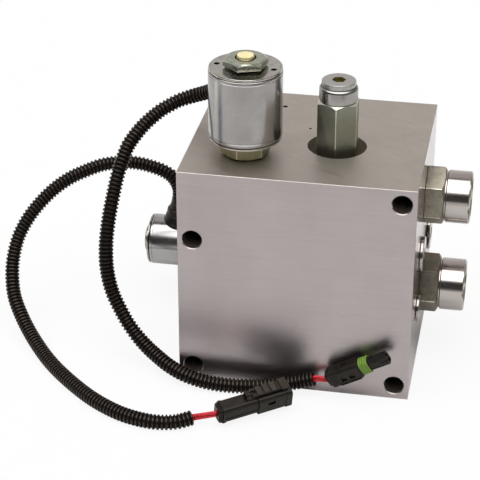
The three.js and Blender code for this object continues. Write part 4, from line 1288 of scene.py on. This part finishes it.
OLIVE_ZINC = zinc("olive_zinc", (0.275, 0.285, 0.235), (0.225, 0.24, 0.20), 0.30, 0.42, 0.12, 0.08)
RELIEF_HEX = fit(relief_hexagon(), "relief_hexagon", OLIVE_ZINC, "valve",
    ["relief_body"], RELIEF)
# The relief hexagon's edges and its top chamfer get the painted highlight.
mark_faces(RELIEF_HEX, EDGE_HIGHLIGHT_ZINC, highlight_edge(-88, -12.2, 33.1, 13.0))
mark_faces(RELIEF_HEX, EDGE_HIGHLIGHT_ZINC, lambda centre, normal: centre.z > 30 and 0.3 < normal.z < 0.95)
cap = lathe([
    (11.33, 33.4), (12.2, 33.4), (12.5, 33.7), (12.5, 40.6), (12.42, 41.2), (12.15, 41.8),
    (11.75, 42.3),
    (11.33, 42.6),
], 96, closed=True)
fit(cap, "relief_locking_cap", BRIGHT_ZINC, "valve", ["relief_cap"], RELIEF)


def adjusting_screw():
    body = lathe([
        (0, 36.5), (10.4, 36.5), *thread(11.0, 0.5, 37.0, 42.4, 1.5), (10.5, 42.9), (11.08, 43.3),
        (11.08, 45.7),
        (10.85, 46.2), (10.3, 46.5), (0, 46.5),
    ], 96)
    return cut(body, prism(hex_outline(8.0, 15), 40.5, 48.0))


DISC_ZINC = zinc("disc_zinc", (0.47, 0.46, 0.44), (0.38, 0.375, 0.36), 0.30, 0.40, 0.3, 0.15, 70.0)
YELLOW_ZINC = zinc("yellow_zinc", (0.62, 0.58, 0.30), (0.45, 0.43, 0.20), 0.20, 0.30)
ADJUSTER = fit(adjusting_screw(), "adjusting_screw", DISC_ZINC, "adjuster",
    ["relief_adjuster"],
               RELIEF)
mark_faces(ADJUSTER, YELLOW_ZINC, lambda centre,
    normal: Vector(centre[:2]).length < 4.8 and 40 < centre.z < 46.3)

# ---- port adapters ----
# Two zinc-plated steel adapters screw into the block's right side: a hexagon with a rough dull
# face, a groove, and a smooth turned barrel whose mouth is threaded for a hose end.
BARREL_ZINC = zinc("barrel_zinc", (0.52, 0.475, 0.45), (0.43, 0.39, 0.37), 0.13, 0.19, 0.08, 0.04)
SANDED_ZINC = zinc("sanded_zinc", (0.36, 0.33, 0.265), (0.20, 0.185, 0.15), 0.30, 0.42, 0.45, 0.25,
    90.0, 1000.0)


def adapter(turn):
    body = hexagon(34.93, 0.05, 12.7, turn, False, True, 0.5)
    barrel = lathe([
        (8, -15), (11.9, -15), (12.9, -14), *thread(12.9, 0.7, -13.4, -3.2), (12.1, -2.2),
        (12.1, 0.5),
        (16.2, 0.5), (16.2, 13.2), (16.9, 13.5), (17.45, 14.0), (17.45, 28.3), (17.2, 28.9),
        (16.5, 29.5),
        (14.2, 29.5), *thread(13.3, 1.0, 28.0, 11.0, 2.0), (12.2, 10.6), (8, 8),
    ], 96, closed=True)
    head = cut(body, cylinder(15.8, -1, 14, 96))
    return head, barrel


def turned_and_hexed(turn):
    """The adapter as one solid: hexagon outside, barrel and bore inside."""
    head, barrel = adapter(turn)
    return join(barrel, head)


# A darker, browner copy of the sanded zinc for the lower adapter's flats: painted shade.
SHADED_SANDED_ZINC = zinc("lower_flats_painted_shade_zinc", (0.265, 0.235, 0.19), (0.17, 0.15, 0.125), 0.30, 0.42, 0.45, 0.2,
    90.0, 1000.0)
ADAPTERS = (("upper", -127, SANDED_ZINC), ("lower", -138, SHADED_SANDED_ZINC))
for spot_name, turn, flats_finish_and_shade in ADAPTERS:
    y, z, _ = PORTS[spot_name]
    seat = Matrix.Translation(Vector((RIGHT, y, z)) * MM) @ Matrix.Rotation(math.pi / 2, 4, "Y")
    body = turned_and_hexed(turn)
    fit(body, f"adapter_{spot_name}", BARREL_ZINC, "valve",
        [f"port_adapter_{spot_name}"], seat)
    # The upper adapter's flats get the sanded finish; the lower one's get its painted-shade copy.
    mark_faces(body, flats_finish_and_shade,
               lambda centre, normal: 0.02 < centre.z < 12.75 and Vector(centre[:2]).length > 16.4)
    # The adapter hexagon's edges get the painted highlight.
    mark_faces(body, EDGE_HIGHLIGHT_ZINC, highlight_edge(turn, 0.1, 12.75, 16.8))

# ---- port plugs ----
# Three zinc-plated plugs with a hexagon socket close the ports that aren't used.
for plug_name, y, z, radius, head in PLUGS:
    boss = radius * 0.74
    seat = Matrix.Translation(Vector((RIGHT, y, z)) * MM) @ Matrix.Rotation(math.pi / 2, 4, "Y")
    body = lathe([
        (0, -11), (boss - 1, -11), (boss, -10), *thread(boss, 0.6, -9.6, -0.6), (boss - 0.4, 0.3),
        (radius - 0.2, 0.3), (radius, 0.5), (radius, head - 0.7), (radius - 0.25, head - 0.25),
        (radius - 0.7, head), (0, head),
    ], 96)
    cut(body, prism(hex_outline(radius * 0.8, 20), head - 5.5, head + 1))
    fit(body, plug_name + "_turned", BARREL_ZINC, "valve", [plug_name], seat)

# ---- pieces inside the cartridges and coils ----
# Ground steel armatures, spools, springs and the relief valve's poppet, enamelled copper windings
# on black bobbins, and nitrile seal rings. They keep the shapes that the frame gives them.
STEEL = zinc("ground_steel", (0.55, 0.56, 0.58), (0.47, 0.48, 0.50), 0.18, 0.26, 0.15, 0.05)


def winding_material():
    """Enamelled copper wire, wound in close turns."""
    made, tree, shader = material("copper_winding", Metallic=0.9)
    turns = place(tree, TURNING_MARKS, Vector=here(tree), Fineness=2200.0)
    cloud = place(tree, PATCHES, Vector=here(tree), Scale=80.0, Contrast=2.0)["Mask"]
    colour = blend_colour(tree, cloud, (0.60, 0.26, 0.12), (0.45, 0.18, 0.08))
    tree.links.new(colour, shader.inputs["Base Color"])
    tree.links.new(blend_value(tree, turns["Mask"], 0.28, 0.45), shader.inputs["Roughness"])
    bump(tree, shader, turns["Height"], 0.4, 0.0001)
    return made


def seal_material():
    """Matte black nitrile rubber."""
    made, tree, shader = material("nitrile", Metallic=0.0)
    cloud = place(tree, PATCHES, Vector=here(tree), Scale=200.0, Contrast=2.0)["Mask"]
    grain = place(tree, GRAIN, Vector=here(tree), Scale=2400.0)
    colour = blend_colour(tree, cloud, (0.010, 0.010, 0.010), (0.022, 0.021, 0.020))
    tree.links.new(colour, shader.inputs["Base Color"])
    tree.links.new(blend_value(tree, cloud, 0.55, 0.7), shader.inputs["Roughness"])
    bump(tree, shader, grain["Height"], 0.2, 0.0002)
    return made


COPPER, NITRILE = winding_material(), seal_material()
KEPT = {
    STEEL: ["armature_a", "armature_b", "spool_a", "spool_b", "return_spring_a", "return_spring_b",
            "relief_spring_plate", "relief_spring", "relief_poppet", "relief_seat"],
    COPPER: ["winding_a", "winding_b"],
    BLACK_NYLON: ["bobbin_a", "bobbin_b"],
    NITRILE: ["cartridge_seal_a", "cartridge_seal_b", "relief_seal", "port_o_ring_upper",
        "port_o_ring_lower"],
}
for finish_used, names in KEPT.items():
    for name in names:
        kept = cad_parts[name]
        kept.data.materials.clear()
        kept.data.materials.append(finish_used)
